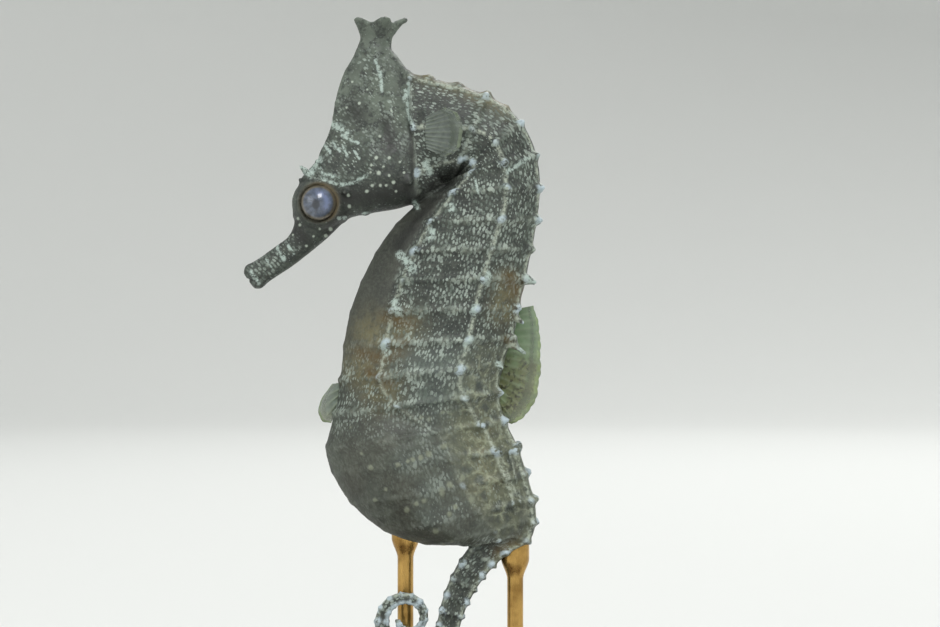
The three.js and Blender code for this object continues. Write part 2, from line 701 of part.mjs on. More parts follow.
addPiece('anal_fin', analFinSolid(), MATERIALS.fin);
for (const [side, word] of [[-1, 'left'], [1, 'right']]) {
  addPiece(`eye_${word}`, eyeSolid(side), MATERIALS.eye);
  addPiece(`pectoral_fin_${word}`, pectoralFinGeometry(side), MATERIALS.fin);
}
addPiece('stand_base', baseSolid(), MATERIALS.base);
addPiece('stand_rod_tail', rodSolid(TAIL_ROD, tailSolid(17, 21, GAP)), MATERIALS.rod);
addPiece('stand_rod_pouch', rodSolid(POUCH_ROD, torsoSolid(12, 18, GAP)), MATERIALS.rod);

export default model;
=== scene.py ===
"""A brooding male seahorse, life size, on a plain display stand.

Shapes are worked out in millimetres, in the model's own frame (+Z up, the animal faces -X, its plane of
symmetry is Y = 0), and turned into metres where a mesh is made.
"""
import math

import bpy
import numpy as np
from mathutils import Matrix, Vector, noise
from mathutils.bvhtree import BVHTree
from mathutils.kdtree import KDTree


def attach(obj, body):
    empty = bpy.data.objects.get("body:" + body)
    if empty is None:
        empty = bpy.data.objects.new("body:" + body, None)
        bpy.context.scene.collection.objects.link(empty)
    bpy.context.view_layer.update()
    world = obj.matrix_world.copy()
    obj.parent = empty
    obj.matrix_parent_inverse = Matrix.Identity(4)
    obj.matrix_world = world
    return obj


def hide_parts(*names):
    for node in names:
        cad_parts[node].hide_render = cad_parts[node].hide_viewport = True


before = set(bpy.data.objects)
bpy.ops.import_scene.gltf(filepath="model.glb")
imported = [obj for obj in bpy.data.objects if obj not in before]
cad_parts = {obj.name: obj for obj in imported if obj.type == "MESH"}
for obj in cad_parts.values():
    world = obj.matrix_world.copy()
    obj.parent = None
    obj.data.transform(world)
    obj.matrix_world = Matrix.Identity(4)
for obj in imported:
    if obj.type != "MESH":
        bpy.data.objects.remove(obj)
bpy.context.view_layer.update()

MM = 0.001

# ------------------------------------------------------------------ driving dimensions

# Body rings run from 1, behind the gill cover, to 11, the last of the trunk, and on through the tail.
# Each key section: ring, back x, back z, front x, front z, half width.
TORSO = (
    (1, -4.0, 85.0, -2.9, 69.0, 3.4),
    (1.5, 1.5, 83.6, 0.3, 70.9, 3.7),
    (2, 6.2, 82.2, 2.1, 71.9, 4.1),
    (3, 10.4, 78.6, 2.6, 72.3, 4.8),
    (4, 12.2, 74.4, 1.6, 71.5, 5.3),
    (5, 12.6, 70.4, -1.7, 69.5, 5.6),
    (6, 12.2, 66.4, -5.6, 66.0, 5.9),
    (7, 11.5, 62.8, -8.1, 62.4, 6.0),
    (8, 10.7, 59.1, -9.9, 58.8, 6.1),
    (9, 9.9, 55.4, -11.3, 55.0, 6.1),
    (10, 9.1, 51.8, -12.1, 50.8, 6.1),
    (11, 7.8, 48.4, -12.6, 46.5, 6.1),
    (12, 7.4, 45.1, -13.3, 42.3, 6.3),
    (13, 8.3, 41.5, -14.4, 38.0, 6.6),
    (14, 9.9, 38.1, -13.6, 35.0, 6.6),
    (15, 10.8, 34.9, -11.3, 31.1, 6.1),
    (16, 11.6, 31.6, -7.0, 27.5, 5.2),
    (17, 11.6, 28.9, -2.0, 25.9, 4.0),
    (18, 10.4, 27.0, 2.8, 25.8, 2.9),
)
TAIL_ROOT = (
    (14, 9.8, 38.1, 3.5, 36.3, 3.5),
    (15, 10.8, 34.9, 4.3, 33.5, 3.4),
    (16, 11.8, 31.6, 5.1, 31.0, 3.2),
    (17, 12.0, 28.8, 6.1, 29.4, 2.9),
    (18, 11.1, 26.4, 6.4, 28.3, 2.6),
    (19, 8.5, 24.8, 5.8, 27.4, 2.2),
    (20, 6.8, 23.3, 3.8, 25.9, 1.9),
)

# Past ring 20 the tail is a sweep that straightens a little and then curls forward into a spiral.
TAIL_FIRST_RING = 20
TAIL_RINGS = 25
TAIL_FIRST_SPACING = 2.2
TAIL_LAST_SPACING = 0.6
TAIL_SWEEP_LENGTH = 9.4
TAIL_SWEEP_RADIUS = -19.0
TAIL_CURL_RADII = (5.2, 1.25)
TAIL_TIP_DEPTH = 0.8
TAIL_TAPER = 1.15
TAIL_PATH_STEP = 0.05

# Section outlines: share of the depth from the back, and share of the half width, at each ridge.
# The six corners are the back, the superior, lateral and inferior ridges, the flank and the keel.
OUTLINES = {
    "neck": ((0, 0), (0.05, 0.5), (0.45, 1), (0.8, 0.8), (0.93, 0.45), (1, 0)),
    "trunk": ((0, 0), (0.02, 0.48), (0.26, 1), (0.74, 0.78), (0.9, 0.42), (1, 0)),
    "pouch": ((0, 0), (0.02, 0.3), (0.13, 0.52), (0.36, 0.7), (0.7, 1), (1, 0)),
    "tail": ((0.05, 0), (0.02, 0.48), (0.08, 0.86), (0.92, 0.86), (0.98, 0.48), (0.95, 0)),
}
OUTLINE_AT_RING = ((1, "neck"), (3, "neck"), (6, "trunk"), (11, "trunk"), (13.5, "pouch"), (18, "pouch"))
TORSO_ROUNDNESS = 0.85
TORSO_ROWS = 340
TORSO_STEPS = 16  # points from one ridge to the next
TORSO_SMOOTHING = 60
TAIL_ROUNDNESS = 0.7
TAIL_STEPS = 6

# The face: along the snout's axis, reach above and below it, half width.
SNOUT_TIP = (-23.9, 58.9)
SNOUT_SLOPE = math.radians(35)
FACE = (
    (0, 1.2, 1.2, 0.95),
    (0.7, 1.75, 1.7, 1.35),
    (2.0, 1.6, 1.55, 1.25),
    (5.5, 1.6, 1.65, 1.4),
    (7.6, 1.75, 1.55, 1.6),
    (9.1, 2.9, 1.45, 1.95),
    (10.8, 4.8, 1.3, 2.3),
    (12.3, 6.5, 1.1, 2.6),
    (14.6, 7.2, 0.8, 3.0),
    (17.2, 7.6, 1.8, 3.5),
    (20.6, 8.0, 3.4, 3.85),
    (24.5, 7.0, 4.6, 3.6),
    (27.0, 6.0, 4.8, 3.3),
)
# The crown: height, front x, back x, half width.
CROWN = (
    (71.5, -14.6, -2.2, 3.7),
    (74.4, -15.2, -2.2, 3.5),
    (76.4, -14.3, -2.2, 3.1),
    (78.5, -13.6, -2.2, 2.75),
    (81.0, -13.2, -2.4, 2.5),
    (83.0, -12.7, -3.0, 2.3),
    (85.0, -12.0, -3.9, 2.1),
    (86.5, -11.1, -5.0, 1.9),
    (87.9, -10.4, -6.1, 1.75),
)
CROWN_TAPER = 0.35
CORONET_Z = 88.05
CORONET_HEIGHT = 3.4
CORONET_CENTRE = -8.2
CORONET_WAIST = 2.15
CORONET_RIM = 3.0
CORONET_POINTS = 5
CORONET_POINT_DEPTH = 0.2
CORONET_WIDTH = 0.8
CORONET_LEAN = 0.5

EYE = (-15.0, 2.6, 68.5)
EYE_RADIUS = 2.25

SKIN_VOXEL = 0.16
SKIN_SOFTENING = 6  # rounds of smoothing, of the skin's places and of what it carries
NEAREST_POINTS = 8
POINT_FALLOFF = 0.08  # square millimetres
FULL_HALF_WIDTH = 5.5  # the body's half width where its relief has its full size
RING_RIDGE = 0.26
TUBERCLES = (0.62, 0.5, 0.45)  # heights on the superior, lateral and inferior ridges
STALK_CLEARING = 1.9  # radius round a stalked tubercle that is kept plain

# ------------------------------------------------------------------ curves and lofts


def spline(table, at):
    """Rows of a keyed table read at the given keys, on a smooth curve through them."""
    table = np.asarray(table, float)
    knots = table[:, 0]
    values = table[:, 1:]
    at = np.clip(np.atleast_1d(np.asarray(at, float)), knots[0], knots[-1])
    before = np.maximum(np.arange(len(knots)) - 1, 0)
    after = np.minimum(np.arange(len(knots)) + 1, len(knots) - 1)
    slopes = (values[after] - values[before]) / (knots[after] - knots[before])[:, None]
    i = np.clip(np.searchsorted(knots, at, side="right") - 1, 0, len(knots) - 2)
    span = (knots[i + 1] - knots[i])[:, None]
    t = ((at - knots[i]) / span[:, 0])[:, None]
    start = (2 * t**3 - 3 * t**2 + 1) * values[i] + (t**3 - 2 * t**2 + t) * span * slopes[i]
    return start + (3 * t**2 - 2 * t**3) * values[i + 1] + (t**3 - t**2) * span * slopes[i + 1]


def smoothstep(low, high, x):
    t = np.clip((x - low) / (high - low), 0, 1)
    return t * t * (3 - 2 * t)


def bump(distance, width):
    return np.exp(-((distance / width) ** 2))


def outline_corners(rings):
    """The six ridge corners at each ring: a mix of the two nearest outlines."""
    corners = np.zeros((len(rings), 6, 2))
    keys = [ring for ring, _ in OUTLINE_AT_RING]
    shapes = [np.array(OUTLINES[name]) for _, name in OUTLINE_AT_RING]
    for n, ring in enumerate(rings):
        i = min(max(np.searchsorted(keys, ring, side="right") - 1, 0), len(keys) - 2)
        mix = smoothstep(keys[i], keys[i + 1], ring)
        corners[n] = shapes[i] * (1 - mix) + shapes[i + 1] * mix
    return corners


def sections(keys, corners, steps, roundness):
    """Points round each section of a body, with their corner number, 0 at the back to 5 at the keel."""
    back = keys[:, 0:2]
    front = keys[:, 2:4]
    depth = np.linalg.norm(front - back, axis=1)
    axis = (front - back) / depth[:, None]
    flat = np.stack([(corners[:, :, 0] - 0.5) * depth[:, None], corners[:, :, 1] * keys[:, 4:5]], axis=2)
    mirrored = flat[:, 4:0:-1] * (1, -1)
    loop = np.concatenate([flat, mirrored], axis=1)
    p0, p1, p2, p3 = (np.roll(loop, shift, axis=1) for shift in (1, 0, -1, -2))
    around = []
    for step in range(steps):
        t = step / steps
        curved = 0.5 * (2 * p1 + (p2 - p0) * t + (2 * p0 - 5 * p1 + 4 * p2 - p3) * t**2
                        + (3 * p1 - p0 - 3 * p2 + p3) * t**3)
        straight = p1 * (1 - t) + p2 * t
        around.append(straight * (1 - roundness) + curved * roundness)
    flat = np.stack(around, axis=2).reshape(len(keys), -1, 2)
    middle = (back + front) / 2
    points = np.empty(flat.shape[:2] + (3,))
    points[:, :, 0] = middle[:, None, 0] + axis[:, None, 0] * flat[:, :, 0]
    points[:, :, 1] = flat[:, :, 1]
    points[:, :, 2] = middle[:, None, 1] + axis[:, None, 1] * flat[:, :, 0]
    return points


def loft_mesh(points):
    """Vertices and faces of a closed solid through rings of points, with flat ends."""
    rows, count = points.shape[:2]
    vertices = np.concatenate([points.reshape(-1, 3), points[0].mean(0)[None], points[-1].mean(0)[None]])
    faces = []
    for row in range(rows - 1):
        for i in range(count):
            j = (i + 1) % count
            faces.append((row * count + i, row * count + j, (row + 1) * count + j, (row + 1) * count + i))
    first, last, end = rows * count, rows * count + 1, (rows - 1) * count
    for i in range(count):
        j = (i + 1) % count
        faces.append((j, i, first))
        faces.append((end + i, end + j, last))
    return vertices, faces


def joined(parts):
    """Several (vertices, faces) as one."""
    vertices = []
    faces = []
    for part_vertices, part_faces in parts:
        start = sum(len(v) for v in vertices)
        vertices.append(part_vertices)
        faces.extend(tuple(index + start for index in face) for face in part_faces)
    return np.concatenate(vertices), faces


def new_object(name, vertices, faces):
    """A mesh object in metres, from vertices in millimetres."""
    mesh = bpy.data.meshes.new(name)
    mesh.from_pydata((np.asarray(vertices) * MM).tolist(), [], [tuple(map(int, face)) for face in faces])
    mesh.update()
    mesh.shade_smooth()
    obj = bpy.data.objects.new(name, mesh)
    bpy.context.scene.collection.objects.link(obj)
    return obj


def add_value(obj, name, values):
    attribute = obj.data.attributes.new(name, "FLOAT", "POINT")
    attribute.data.foreach_set("value", np.asarray(values, dtype=np.float32))


def add_vector(obj, name, values):
    attribute = obj.data.attributes.new(name, "FLOAT_VECTOR", "POINT")
    attribute.data.foreach_set("vector", np.asarray(values, dtype=np.float32).ravel())


# ------------------------------------------------------------------ the body's lofts


class BodyLoft:
    """A length of ringed body, with what the skin needs to know at each of its points."""

    def __init__(self, rings, keys, corners, steps, roundness):
        self.points = sections(keys, corners, steps, roundness)
        count = self.points.shape[1]
        half = count // 2
        reach = np.linalg.norm(np.diff(self.points[:, :half + 1], axis=1), axis=2).cumsum(axis=1)
        reach = np.concatenate([np.zeros((len(rings), 1)), reach], axis=1)
        arc = np.concatenate([reach, reach[:, half - 1:0:-1]], axis=1)
        pitch = np.linalg.norm(np.gradient(self.points, axis=0), axis=2) / np.gradient(rings)[:, None]
        step = np.linalg.norm(np.diff(self.points[:, steps * 2], axis=0), axis=1)
        along = np.concatenate([[0], step.cumsum()])
        fields = [np.broadcast_to(rings[:, None], arc.shape), pitch, arc]
        fields += [arc - reach[:, steps * ridge][:, None] for ridge in (1, 2, 3)]
        fields += [arc / reach[:, -1:], np.broadcast_to(keys[:, 4:5], arc.shape)]
        fields += [np.broadcast_to(along[:, None], arc.shape)]
        self.fields = np.stack(fields, axis=2)

    def mesh(self):
        return loft_mesh(self.points)


def torso_loft():
    rings = np.linspace(TORSO[0][0], TORSO[-1][0], TORSO_ROWS)
    keys = spline(TORSO, rings)
    for _ in range(TORSO_SMOOTHING):
        keys[1:-1] = (keys[:-2] + 2 * keys[1:-1] + keys[2:]) / 4
    return BodyLoft(rings, keys, outline_corners(rings), TORSO_STEPS, TORSO_ROUNDNESS)


def free_tail_path():
    """The free tail's centre line from the end of its root, as places and headings at even steps."""
    root = np.array(TAIL_ROOT[-1])
    across = root[1:3] - root[3:5]
    heading = math.atan2(across[1], across[0]) + math.pi / 2
    if math.sin(heading) > 0:
        heading += math.pi
    place = (root[1:3] + root[3:5]) / 2
    length = TAIL_RINGS * (TAIL_FIRST_SPACING + TAIL_LAST_SPACING) / 2
    step = TAIL_PATH_STEP
    path = []
    for n in range(int(length / step) + 1):
        path.append((*place, heading))
        curled = (n * step - TAIL_SWEEP_LENGTH) / (length - TAIL_SWEEP_LENGTH)
        start, end = TAIL_CURL_RADII
        radius = TAIL_SWEEP_RADIUS if curled < 0 else start + (end - start) * curled
        heading -= step / radius
        place = place + np.array([math.cos(heading), math.sin(heading)]) * step
    return np.array(path), length, float(np.linalg.norm(across)), root[5]


def tail_loft():
    path, length, root_depth, root_half = free_tail_path()
    last_ring = TAIL_FIRST_RING + TAIL_RINGS
    rooted = np.linspace(TAIL_ROOT[0][0], TAIL_FIRST_RING, 90)
    rings = np.concatenate([rooted, np.linspace(TAIL_FIRST_RING, last_ring, 301)[1:]])
    keys = spline(TAIL_ROOT, rings)
    free = rings > TAIL_FIRST_RING
    k = rings[free] - TAIL_FIRST_RING
    closing = (TAIL_FIRST_SPACING - TAIL_LAST_SPACING) / TAIL_RINGS
    distance = TAIL_FIRST_SPACING * k - closing * k * k / 2
    at = path[np.minimum((distance / TAIL_PATH_STEP).round().astype(int), len(path) - 1)]
    left = np.clip(1 - distance / length, 0, 1) ** TAIL_TAPER
    depth = TAIL_TIP_DEPTH + (root_depth - TAIL_TIP_DEPTH) * left
    to_back = np.stack([-np.sin(at[:, 2]), np.cos(at[:, 2])], axis=1) * depth[:, None] / 2
    keys[free, 0:2] = at[:, :2] + to_back
    keys[free, 2:4] = at[:, :2] - to_back
    keys[free, 4] = TAIL_TIP_DEPTH / 2 + (root_half - TAIL_TIP_DEPTH / 2) * left
    corners = np.broadcast_to(np.array(OUTLINES["tail"]), (len(rings), 6, 2))
    return BodyLoft(rings, keys, corners, TAIL_STEPS, TAIL_ROUNDNESS)


# ------------------------------------------------------------------ the head's lofts

face_axis = np.array([math.cos(SNOUT_SLOPE), math.sin(SNOUT_SLOPE)])
face_up = np.array([-face_axis[1], face_axis[0]])


def face_mesh():
    along = np.linspace(0, FACE[-1][0], 110)
    above, below, half = spline(FACE, along).T
    turn = np.linspace(0, 2 * math.pi, 64, endpoint=False)
    centre = np.array(SNOUT_TIP) + along[:, None] * face_axis + ((above - below) / 2)[:, None] * face_up
    up = np.cos(turn)[None] * ((above + below) / 2)[:, None]
    points = np.empty((len(along), len(turn), 3))
    points[:, :, 0] = centre[:, :1] + face_up[0] * up
    points[:, :, 1] = np.sin(turn)[None] * half[:, None]
    points[:, :, 2] = centre[:, 1:] + face_up[1] * up
    return loft_mesh(points)


def crown_mesh():
    heights = np.linspace(CROWN[0][0], CROWN[-1][0], 70)
    front, back, half = spline(CROWN, heights).T
    turn = np.linspace(0, 2 * math.pi, 64, endpoint=False)
    points = np.empty((len(heights), len(turn), 3))
    points[:, :, 0] = front[:, None] + (back - front)[:, None] * (1 + np.cos(turn)) / 2
    points[:, :, 1] = half[:, None] * np.sin(turn) * (1 + CROWN_TAPER * np.cos(turn))
    points[:, :, 2] = heights[:, None]
    return loft_mesh(points)


def coronet_mesh():
    """A waisted crown that flares into five blunt points round a shallow cup."""
    turn = np.linspace(0, 2 * math.pi, 90, endpoint=False)
    star = np.cos(CORONET_POINTS * turn)
    rows = (
        (-0.2, CORONET_WAIST * 1.1, 0),
        (0, CORONET_WAIST, 0),
        (0.35, CORONET_WAIST * 0.92, 0.25),
        (0.7, (CORONET_WAIST + CORONET_RIM) / 2, 0.75),
        (0.93, CORONET_RIM, 1),
        (1.0, CORONET_RIM * 0.9, 0.9),
        (0.93, CORONET_RIM * 0.7, 0.7),
        (0.75, CORONET_RIM * 0.35, 0),
    )
    points = []
    for up, radius, starred in rows:
        reach = radius * (1 + starred * CORONET_POINT_DEPTH * star)
        lift = starred * 0.3 * star
        x = CORONET_CENTRE + CORONET_LEAN * up + np.cos(turn) * reach
        y = np.sin(turn) * reach * CORONET_WIDTH
        points.append(np.stack([x, y, CORONET_Z + CORONET_HEIGHT * up + lift], axis=1))
    return loft_mesh(np.array(points))


def lathe(profile, centre, axis, turns=40):
    """A closed solid of revolution: a profile of (distance along the axis, radius) about an axis at centre."""
    axis = Vector(axis).normalized()
    side = axis.orthogonal().normalized()
    other = axis.cross(side)
    turn = np.linspace(0, 2 * math.pi, turns, endpoint=False)
    ring = np.cos(turn)[:, None] * np.array(side) + np.sin(turn)[:, None] * np.array(other)
    rows = [np.array(centre) + np.array(axis) * along + ring * max(radius, 1e-3) for along, radius in profile]
    return loft_mesh(np.array(rows))


def orbit_mesh(side):
    """The raised socket that the eye sits in, with a soft rim round the eyeball."""
    profile = ((0, 3.5), (1.0, 3.45), (2.2, 3.15), (2.9, 2.85), (3.15, 2.6), (3.15, 2.45), (2.7, 2.2))
    return lathe(profile, (EYE[0], 0, EYE[2]), (0, side, 0))


HORN_PROFILE = ((0, 1), (0.5, 0.62), (0.85, 0.36), (1, 0.12))
TUBERCLE_PROFILE = ((0, 0.9), (0.3, 0.55), (0.6, 0.36), (0.82, 0.3), (0.93, 0.27), (1.0, 0.08))


def spine_mesh(tip, root, side, profile, radius=1):
    """A spine from its root under the skin to its blunt tip, on one side of the body."""
    tip, root = (Vector((x, y * side, z)) for x, y, z in (tip, root))
    length = (tip - root).length
    return lathe([(length * along, radius * share) for along, share in profile], root, tip - root, 20)


# Spines of the head, right side: tip, root and radius at the root.
HEAD_HORNS = (
    ((-15.2, 3.0, 74.0), (-14.9, 1.6, 71.2), 1.0),
    ((-17.4, 2.6, 73.2), (-15.2, 1.7, 71.0), 0.9),
    ((-17.7, 1.0, 71.7), (-16.4, 0.7, 70.6), 0.7),
    ((-11.9, 4.1, 69.7), (-11.4, 2.8, 69.9), 0.8),
    ((-3.5, 4.0, 70.9), (-4.2, 2.8, 71.6), 0.9),
)


# Stalked tubercles of the back, right side: tip and root.
BACK_TUBERCLES = (
    ((12.1, 3.2, 58.6), (9.6, 2.7, 59.3)),
    ((10.5, 3.4, 53.5), (8.9, 2.7, 54.6)),
    ((10.8, 3.5, 49.7), (8.3, 2.6, 51.5)),
    ((7.9, 3.9, 47.9), (6.4, 2.7, 49.2)),
)


def skin_parts():
    """The solids that the skin covers: ringed lofts, and plain ones for the head."""
    head = [face_mesh(), crown_mesh(), coronet_mesh()]
    for side in (-1, 1):
        head.append(orbit_mesh(side))
        for tip, root, radius in HEAD_HORNS:
            head.append(spine_mesh(tip, root, side, HORN_PROFILE, radius))
        for tip, root in BACK_TUBERCLES:
            head.append(spine_mesh(tip, root, side, TUBERCLE_PROFILE))
    return [torso_loft(), tail_loft()], head


# ------------------------------------------------------------------ the skin


def remeshed(parts):
    """One closed surface round several solids, as vertices and faces in millimetres."""
    vertices, faces = joined(parts)
    mesh = bpy.data.meshes.new("whole")
    mesh.from_pydata(vertices.tolist(), [], faces)
    obj = bpy.data.objects.new("whole", mesh)
    bpy.context.scene.collection.objects.link(obj)
    modifier = obj.modifiers.new("surface", "REMESH")
    modifier.mode = "VOXEL"
    modifier.voxel_size = SKIN_VOXEL
    done = bpy.data.meshes.new_from_object(obj.evaluated_get(bpy.context.evaluated_depsgraph_get()))
    count = len(done.vertices)
    places = np.empty(count * 3)
    done.vertices.foreach_get("co", places)
    polygons = np.empty(len(done.polygons) * 4, dtype=int)
    done.loops.foreach_get("vertex_index", polygons)
    edges = np.empty(len(done.edges) * 2, dtype=int)
    done.edges.foreach_get("vertices", edges)
    bpy.data.objects.remove(obj)
    return places.reshape(-1, 3), polygons.reshape(-1, 4), edges.reshape(-1, 2)


def relaxed(values, edges, rounds, strength=0.5):
    """Values at the vertices, each drawn towards the mean of its neighbours."""
    values = np.array(values, float)
    count = np.bincount(edges.ravel(), minlength=len(values)).astype(float)
    shape = (-1,) + (1,) * (values.ndim - 1)
    for _ in range(rounds):
        total = np.zeros_like(values)
        np.add.at(total, edges[:, 0], values[edges[:, 1]])
        np.add.at(total, edges[:, 1], values[edges[:, 0]])
        values += (total / count.reshape(shape) - values) * strength
    return values


def normals_of(places, polygons):
    a, b, c, d = (places[polygons[:, n]] for n in range(4))
    face = np.cross(c - a, d - b)
    normals = np.zeros_like(places)
    for n in range(4):
        np.add.at(normals, polygons[:, n], face)
    return normals / np.maximum(np.linalg.norm(normals, axis=1, keepdims=True), 1e-12)


def carried(lofts, places):
    """The lofts' fields at other places, from the nearest points of the lofts."""
    points = np.concatenate([loft.points.reshape(-1, 3) for loft in lofts])
    fields = np.concatenate([loft.fields.reshape(-1, loft.fields.shape[2]) for loft in lofts])
    tree = KDTree(len(points))
    for n, point in enumerate(points):
        tree.insert(point, n)
    tree.balance()
    result = np.empty((len(places), fields.shape[1]))
    for n, place in enumerate(places):
        near = tree.find_n(place, NEAREST_POINTS)
        nearest = near[0][2]
        weights = np.array([math.exp((nearest**2 - distance**2) / POINT_FALLOFF) for _, _, distance in near])
        result[n] = weights @ fields[[index for _, index, _ in near]] / weights.sum()
    return result


def head_share(places):
    """1 on the head and 0 on the body, across the plane where the neck starts."""
    key = np.array(TORSO[0])
    back, front = key[1:3], key[3:5]
    across = (front - back) / np.linalg.norm(front - back)
    square = np.array([-across[1], across[0]])
    ahead = (places[:, [0, 2]] - (back + front) / 2) @ square
    chest_top = places[:, 2] - (69.6 + 0.62 * (places[:, 0] + 3.0))
    return smoothstep(0.15, -0.25, ahead) * smoothstep(-0.6, 0.4, chest_top)


def value_noise(places, scale, seed):
    """Smooth noise between -1 and 1, with features of about the given size in millimetres."""
    shift = Vector((seed * 17.3, seed * 5.1, seed * 9.7))
    return np.array([noise.noise(Vector(place) / scale + shift) for place in places])


def ring_hash(ring, ridge):
    """A repeatable number from 0 to 1 for one ring at one ridge."""
    return np.modf(np.abs(np.sin(ring * 12.9898 + ridge * 78.233)) * 43758.5453)[0]


def near_stroke(places, stroke, radius):
    """How near each place is, seen from the side, to a line through (x, z) points: 1 on it, 0 far away."""
    flat = places[:, [0, 2]]
    nearest = np.full(len(flat), 1e9)
    for start, end in zip(stroke, stroke[1:] or stroke):
        start, end = np.array(start, float), np.array(end, float)
        length = max(float(np.dot(end - start, end - start)), 1e-9)
        t = np.clip((flat - start) @ (end - start) / length, 0, 1)
        nearest = np.minimum(nearest, np.linalg.norm(flat - (start + t[:, None] * (end - start)), axis=1))
    return bump(nearest, radius)


# Markings seen from the side: a line of (x, z) points, and the mark's half width.
HEAD_PALE = (
    (((-14.4, 79.2), (-13.1, 78.3), (-11.4, 77.2)), 0.4), (((-13.0, 78.2), (-12.2, 77.7)), 0.5),
    (((-12.2, 76.9), (-10.1, 75.9)), 0.22), (((-14.6, 76.0), (-13.6, 74.8)), 0.25),
    (((-13.4, 76.2), (-12.4, 74.9)), 0.18), (((-12.0, 75.4), (-11.3, 74.1)), 0.18),
    (((-10.6, 75.0), (-9.9, 73.9)), 0.16),
    (((-14.8, 71.6), (-13.6, 71.1), (-12.0, 70.7), (-10.6, 71.0), (-9.0, 71.8)), 0.24),
    (((-15.2, 73.2), (-14.4, 72.1), (-12.6, 71.6)), 0.28), (((-8.0, 86.2), (-7.4, 84.6), (-7.2, 82.4)), 0.26),
    (((-3.9, 83.6), (-4.0, 81.0), (-3.9, 79.4), (-3.3, 77.8)), 0.24), (((-4.2, 82.6), (-4.3, 81.4)), 0.4),
    (((-17.6, 73.4), (-16.2, 72.0), (-15.0, 74.0)), 0.55),
    (((-19.2, 63.7), (-18.6, 62.8), (-18.2, 62.3)), 0.2), (((-21.6, 61.6), (-20.9, 60.6)), 0.16),
    (((-23.5, 59.9), (-22.6, 58.6)), 0.3), (((-1.7, 73.4), (-1.3, 72.3)), 0.5),
    (((-3.1, 68.6), (-2.8, 68.0)), 0.42), (((-12.5, 66.6), (-11.7, 66.7)), 0.24),
    (((-9.6, 67.2), (-8.8, 67.4)), 0.2), (((-20.3, 63.2), (-19.4, 61.6)), 0.3),
)
# Round dots: place and radius.
HEAD_DOTS = (
    ((-7.4, 76.7), 0.24), ((-7.8, 74.0), 0.28), ((-6.2, 74.0), 0.26), ((-7.5, 72.1), 0.34),
    ((-6.2, 71.8), 0.24), ((-6.9, 72.9), 0.2), ((-4.9, 73.5), 0.2), ((-5.7, 71.0), 0.3), ((-8.3, 70.6), 0.27),
    ((-7.3, 70.6), 0.25), ((-6.6, 70.6), 0.22), ((-9.0, 69.9), 0.28), ((-5.4, 69.9), 0.22),
    ((-4.4, 72.2), 0.22), ((-8.5, 72.2), 0.2), ((-8.4, 73.1), 0.22), ((-11.3, 69.4), 0.26),
    ((-11.2, 68.1), 0.28), ((-13.6, 65.3), 0.3), ((-14.2, 64.5), 0.28), ((-14.9, 65.3), 0.18),
    ((-15.7, 64.4), 0.2), ((-17.6, 66.6), 0.24), ((-17.4, 65.8), 0.24), ((-16.6, 63.2), 0.2),
    ((-18.3, 64.6), 0.18), ((-10.0, 80.9), 0.26), ((-10.9, 83.6), 0.2), ((-9.0, 82.6), 0.18),
    ((-6.0, 79.9), 0.2), ((-11.6, 80.4), 0.18),
)
# Dark markings of the head, and painted shade: the dark pocket in the throat crease, where the head meets the
# front of the trunk, and the dark gill cut.
HEAD_DARK_AND_CREASE_SHADE = (
    (((-12.4, 69.0), (-10.0, 69.2), (-6.5, 69.4), (-4.2, 70.2)), 1.2),
    (((-3.6, 78.4), (-3.4, 75.0), (-3.3, 71.6)), 0.32), (((-10.4, 79.8),), 1.6),
    (((-6.6, 78.6), (-6.0, 75.4)), 0.9), (((-18.6, 66.4), (-17.0, 64.0)), 1.1),
    (((-12.6, 66.6), (-13.6, 64.8)), 1.0), (((-3.4, 68.6), (-1.2, 70.2), (0.6, 71.4), (2.4, 72.4)), 1.15),
    (((2.0, 71.8), (-0.8, 68.8), (-3.2, 66.0), (-5.2, 63.2)), 0.9), (((-23.6, 59.4), (-22.4, 58.5)), 0.16),
)
# Pale marks of the body's side that are not on a ridge or a ring.
BODY_PALE = (
    (((11.0, 74.0), (9.4, 73.0), (8.2, 72.1)), 0.34), (((4.3, 71.5), (4.8, 69.6)), 0.18),
    (((-4.9, 62.0), (-4.0, 61.2), (-3.4, 60.2)), 0.62), (((-1.0, 65.0), (-1.1, 64.3)), 0.6),
    (((1.5, 68.0), (1.4, 67.6)), 0.45), (((-5.5, 56.2), (-5.0, 55.0)), 0.6),
    (((-6.9, 50.8), (-6.4, 50.0)), 0.5), (((7.3, 48.6), (8.2, 47.5), (9.2, 47.0)), 0.5),
    (((6.0, 59.6), (5.9, 58.6)), 0.45), (((4.3, 55.6), (4.2, 54.8)), 0.4), (((3.8, 51.6), (3.2, 51.0)), 0.4),
    (((11.0, 59.4), (11.6, 58.6)), 0.45), (((9.9, 50.6), (10.6, 49.0)), 0.5),
)
# Soft pale spots in rows across the pouch: place and radius.
POUCH_SPOTS = (
    ((-3.4, 42.0), 0.42), ((-2.2, 42.0), 0.36), ((-1.2, 41.8), 0.42), ((0.4, 42.6), 0.34),
    ((-5.0, 36.3), 0.42), ((-3.9, 36.7), 0.26), ((-3.2, 36.9), 0.36), ((-2.3, 37.1), 0.34),
    ((-1.3, 37.6), 0.42), ((0.5, 38.4), 0.5), ((-4.0, 30.7), 0.46), ((-2.8, 31.5), 0.36), ((-1.9, 31.9), 0.4),
    ((0.3, 32.9), 0.5), ((1.3, 33.8), 0.44), ((2.8, 34.6), 0.4), ((-0.5, 28.0), 0.42), ((1.2, 30.2), 0.4),
    ((1.9, 31.0), 0.36), ((3.9, 31.9), 0.62), ((-8.4, 35.9), 0.36), ((-8.0, 31.8), 0.34), ((-6.6, 33.2), 0.3),
    ((-10.9, 40.7), 0.32), ((-9.6, 37.6), 0.3), ((-1.2, 25.6), 0.34), ((0.4, 26.0), 0.36), ((1.5, 26.6), 0.3),
)
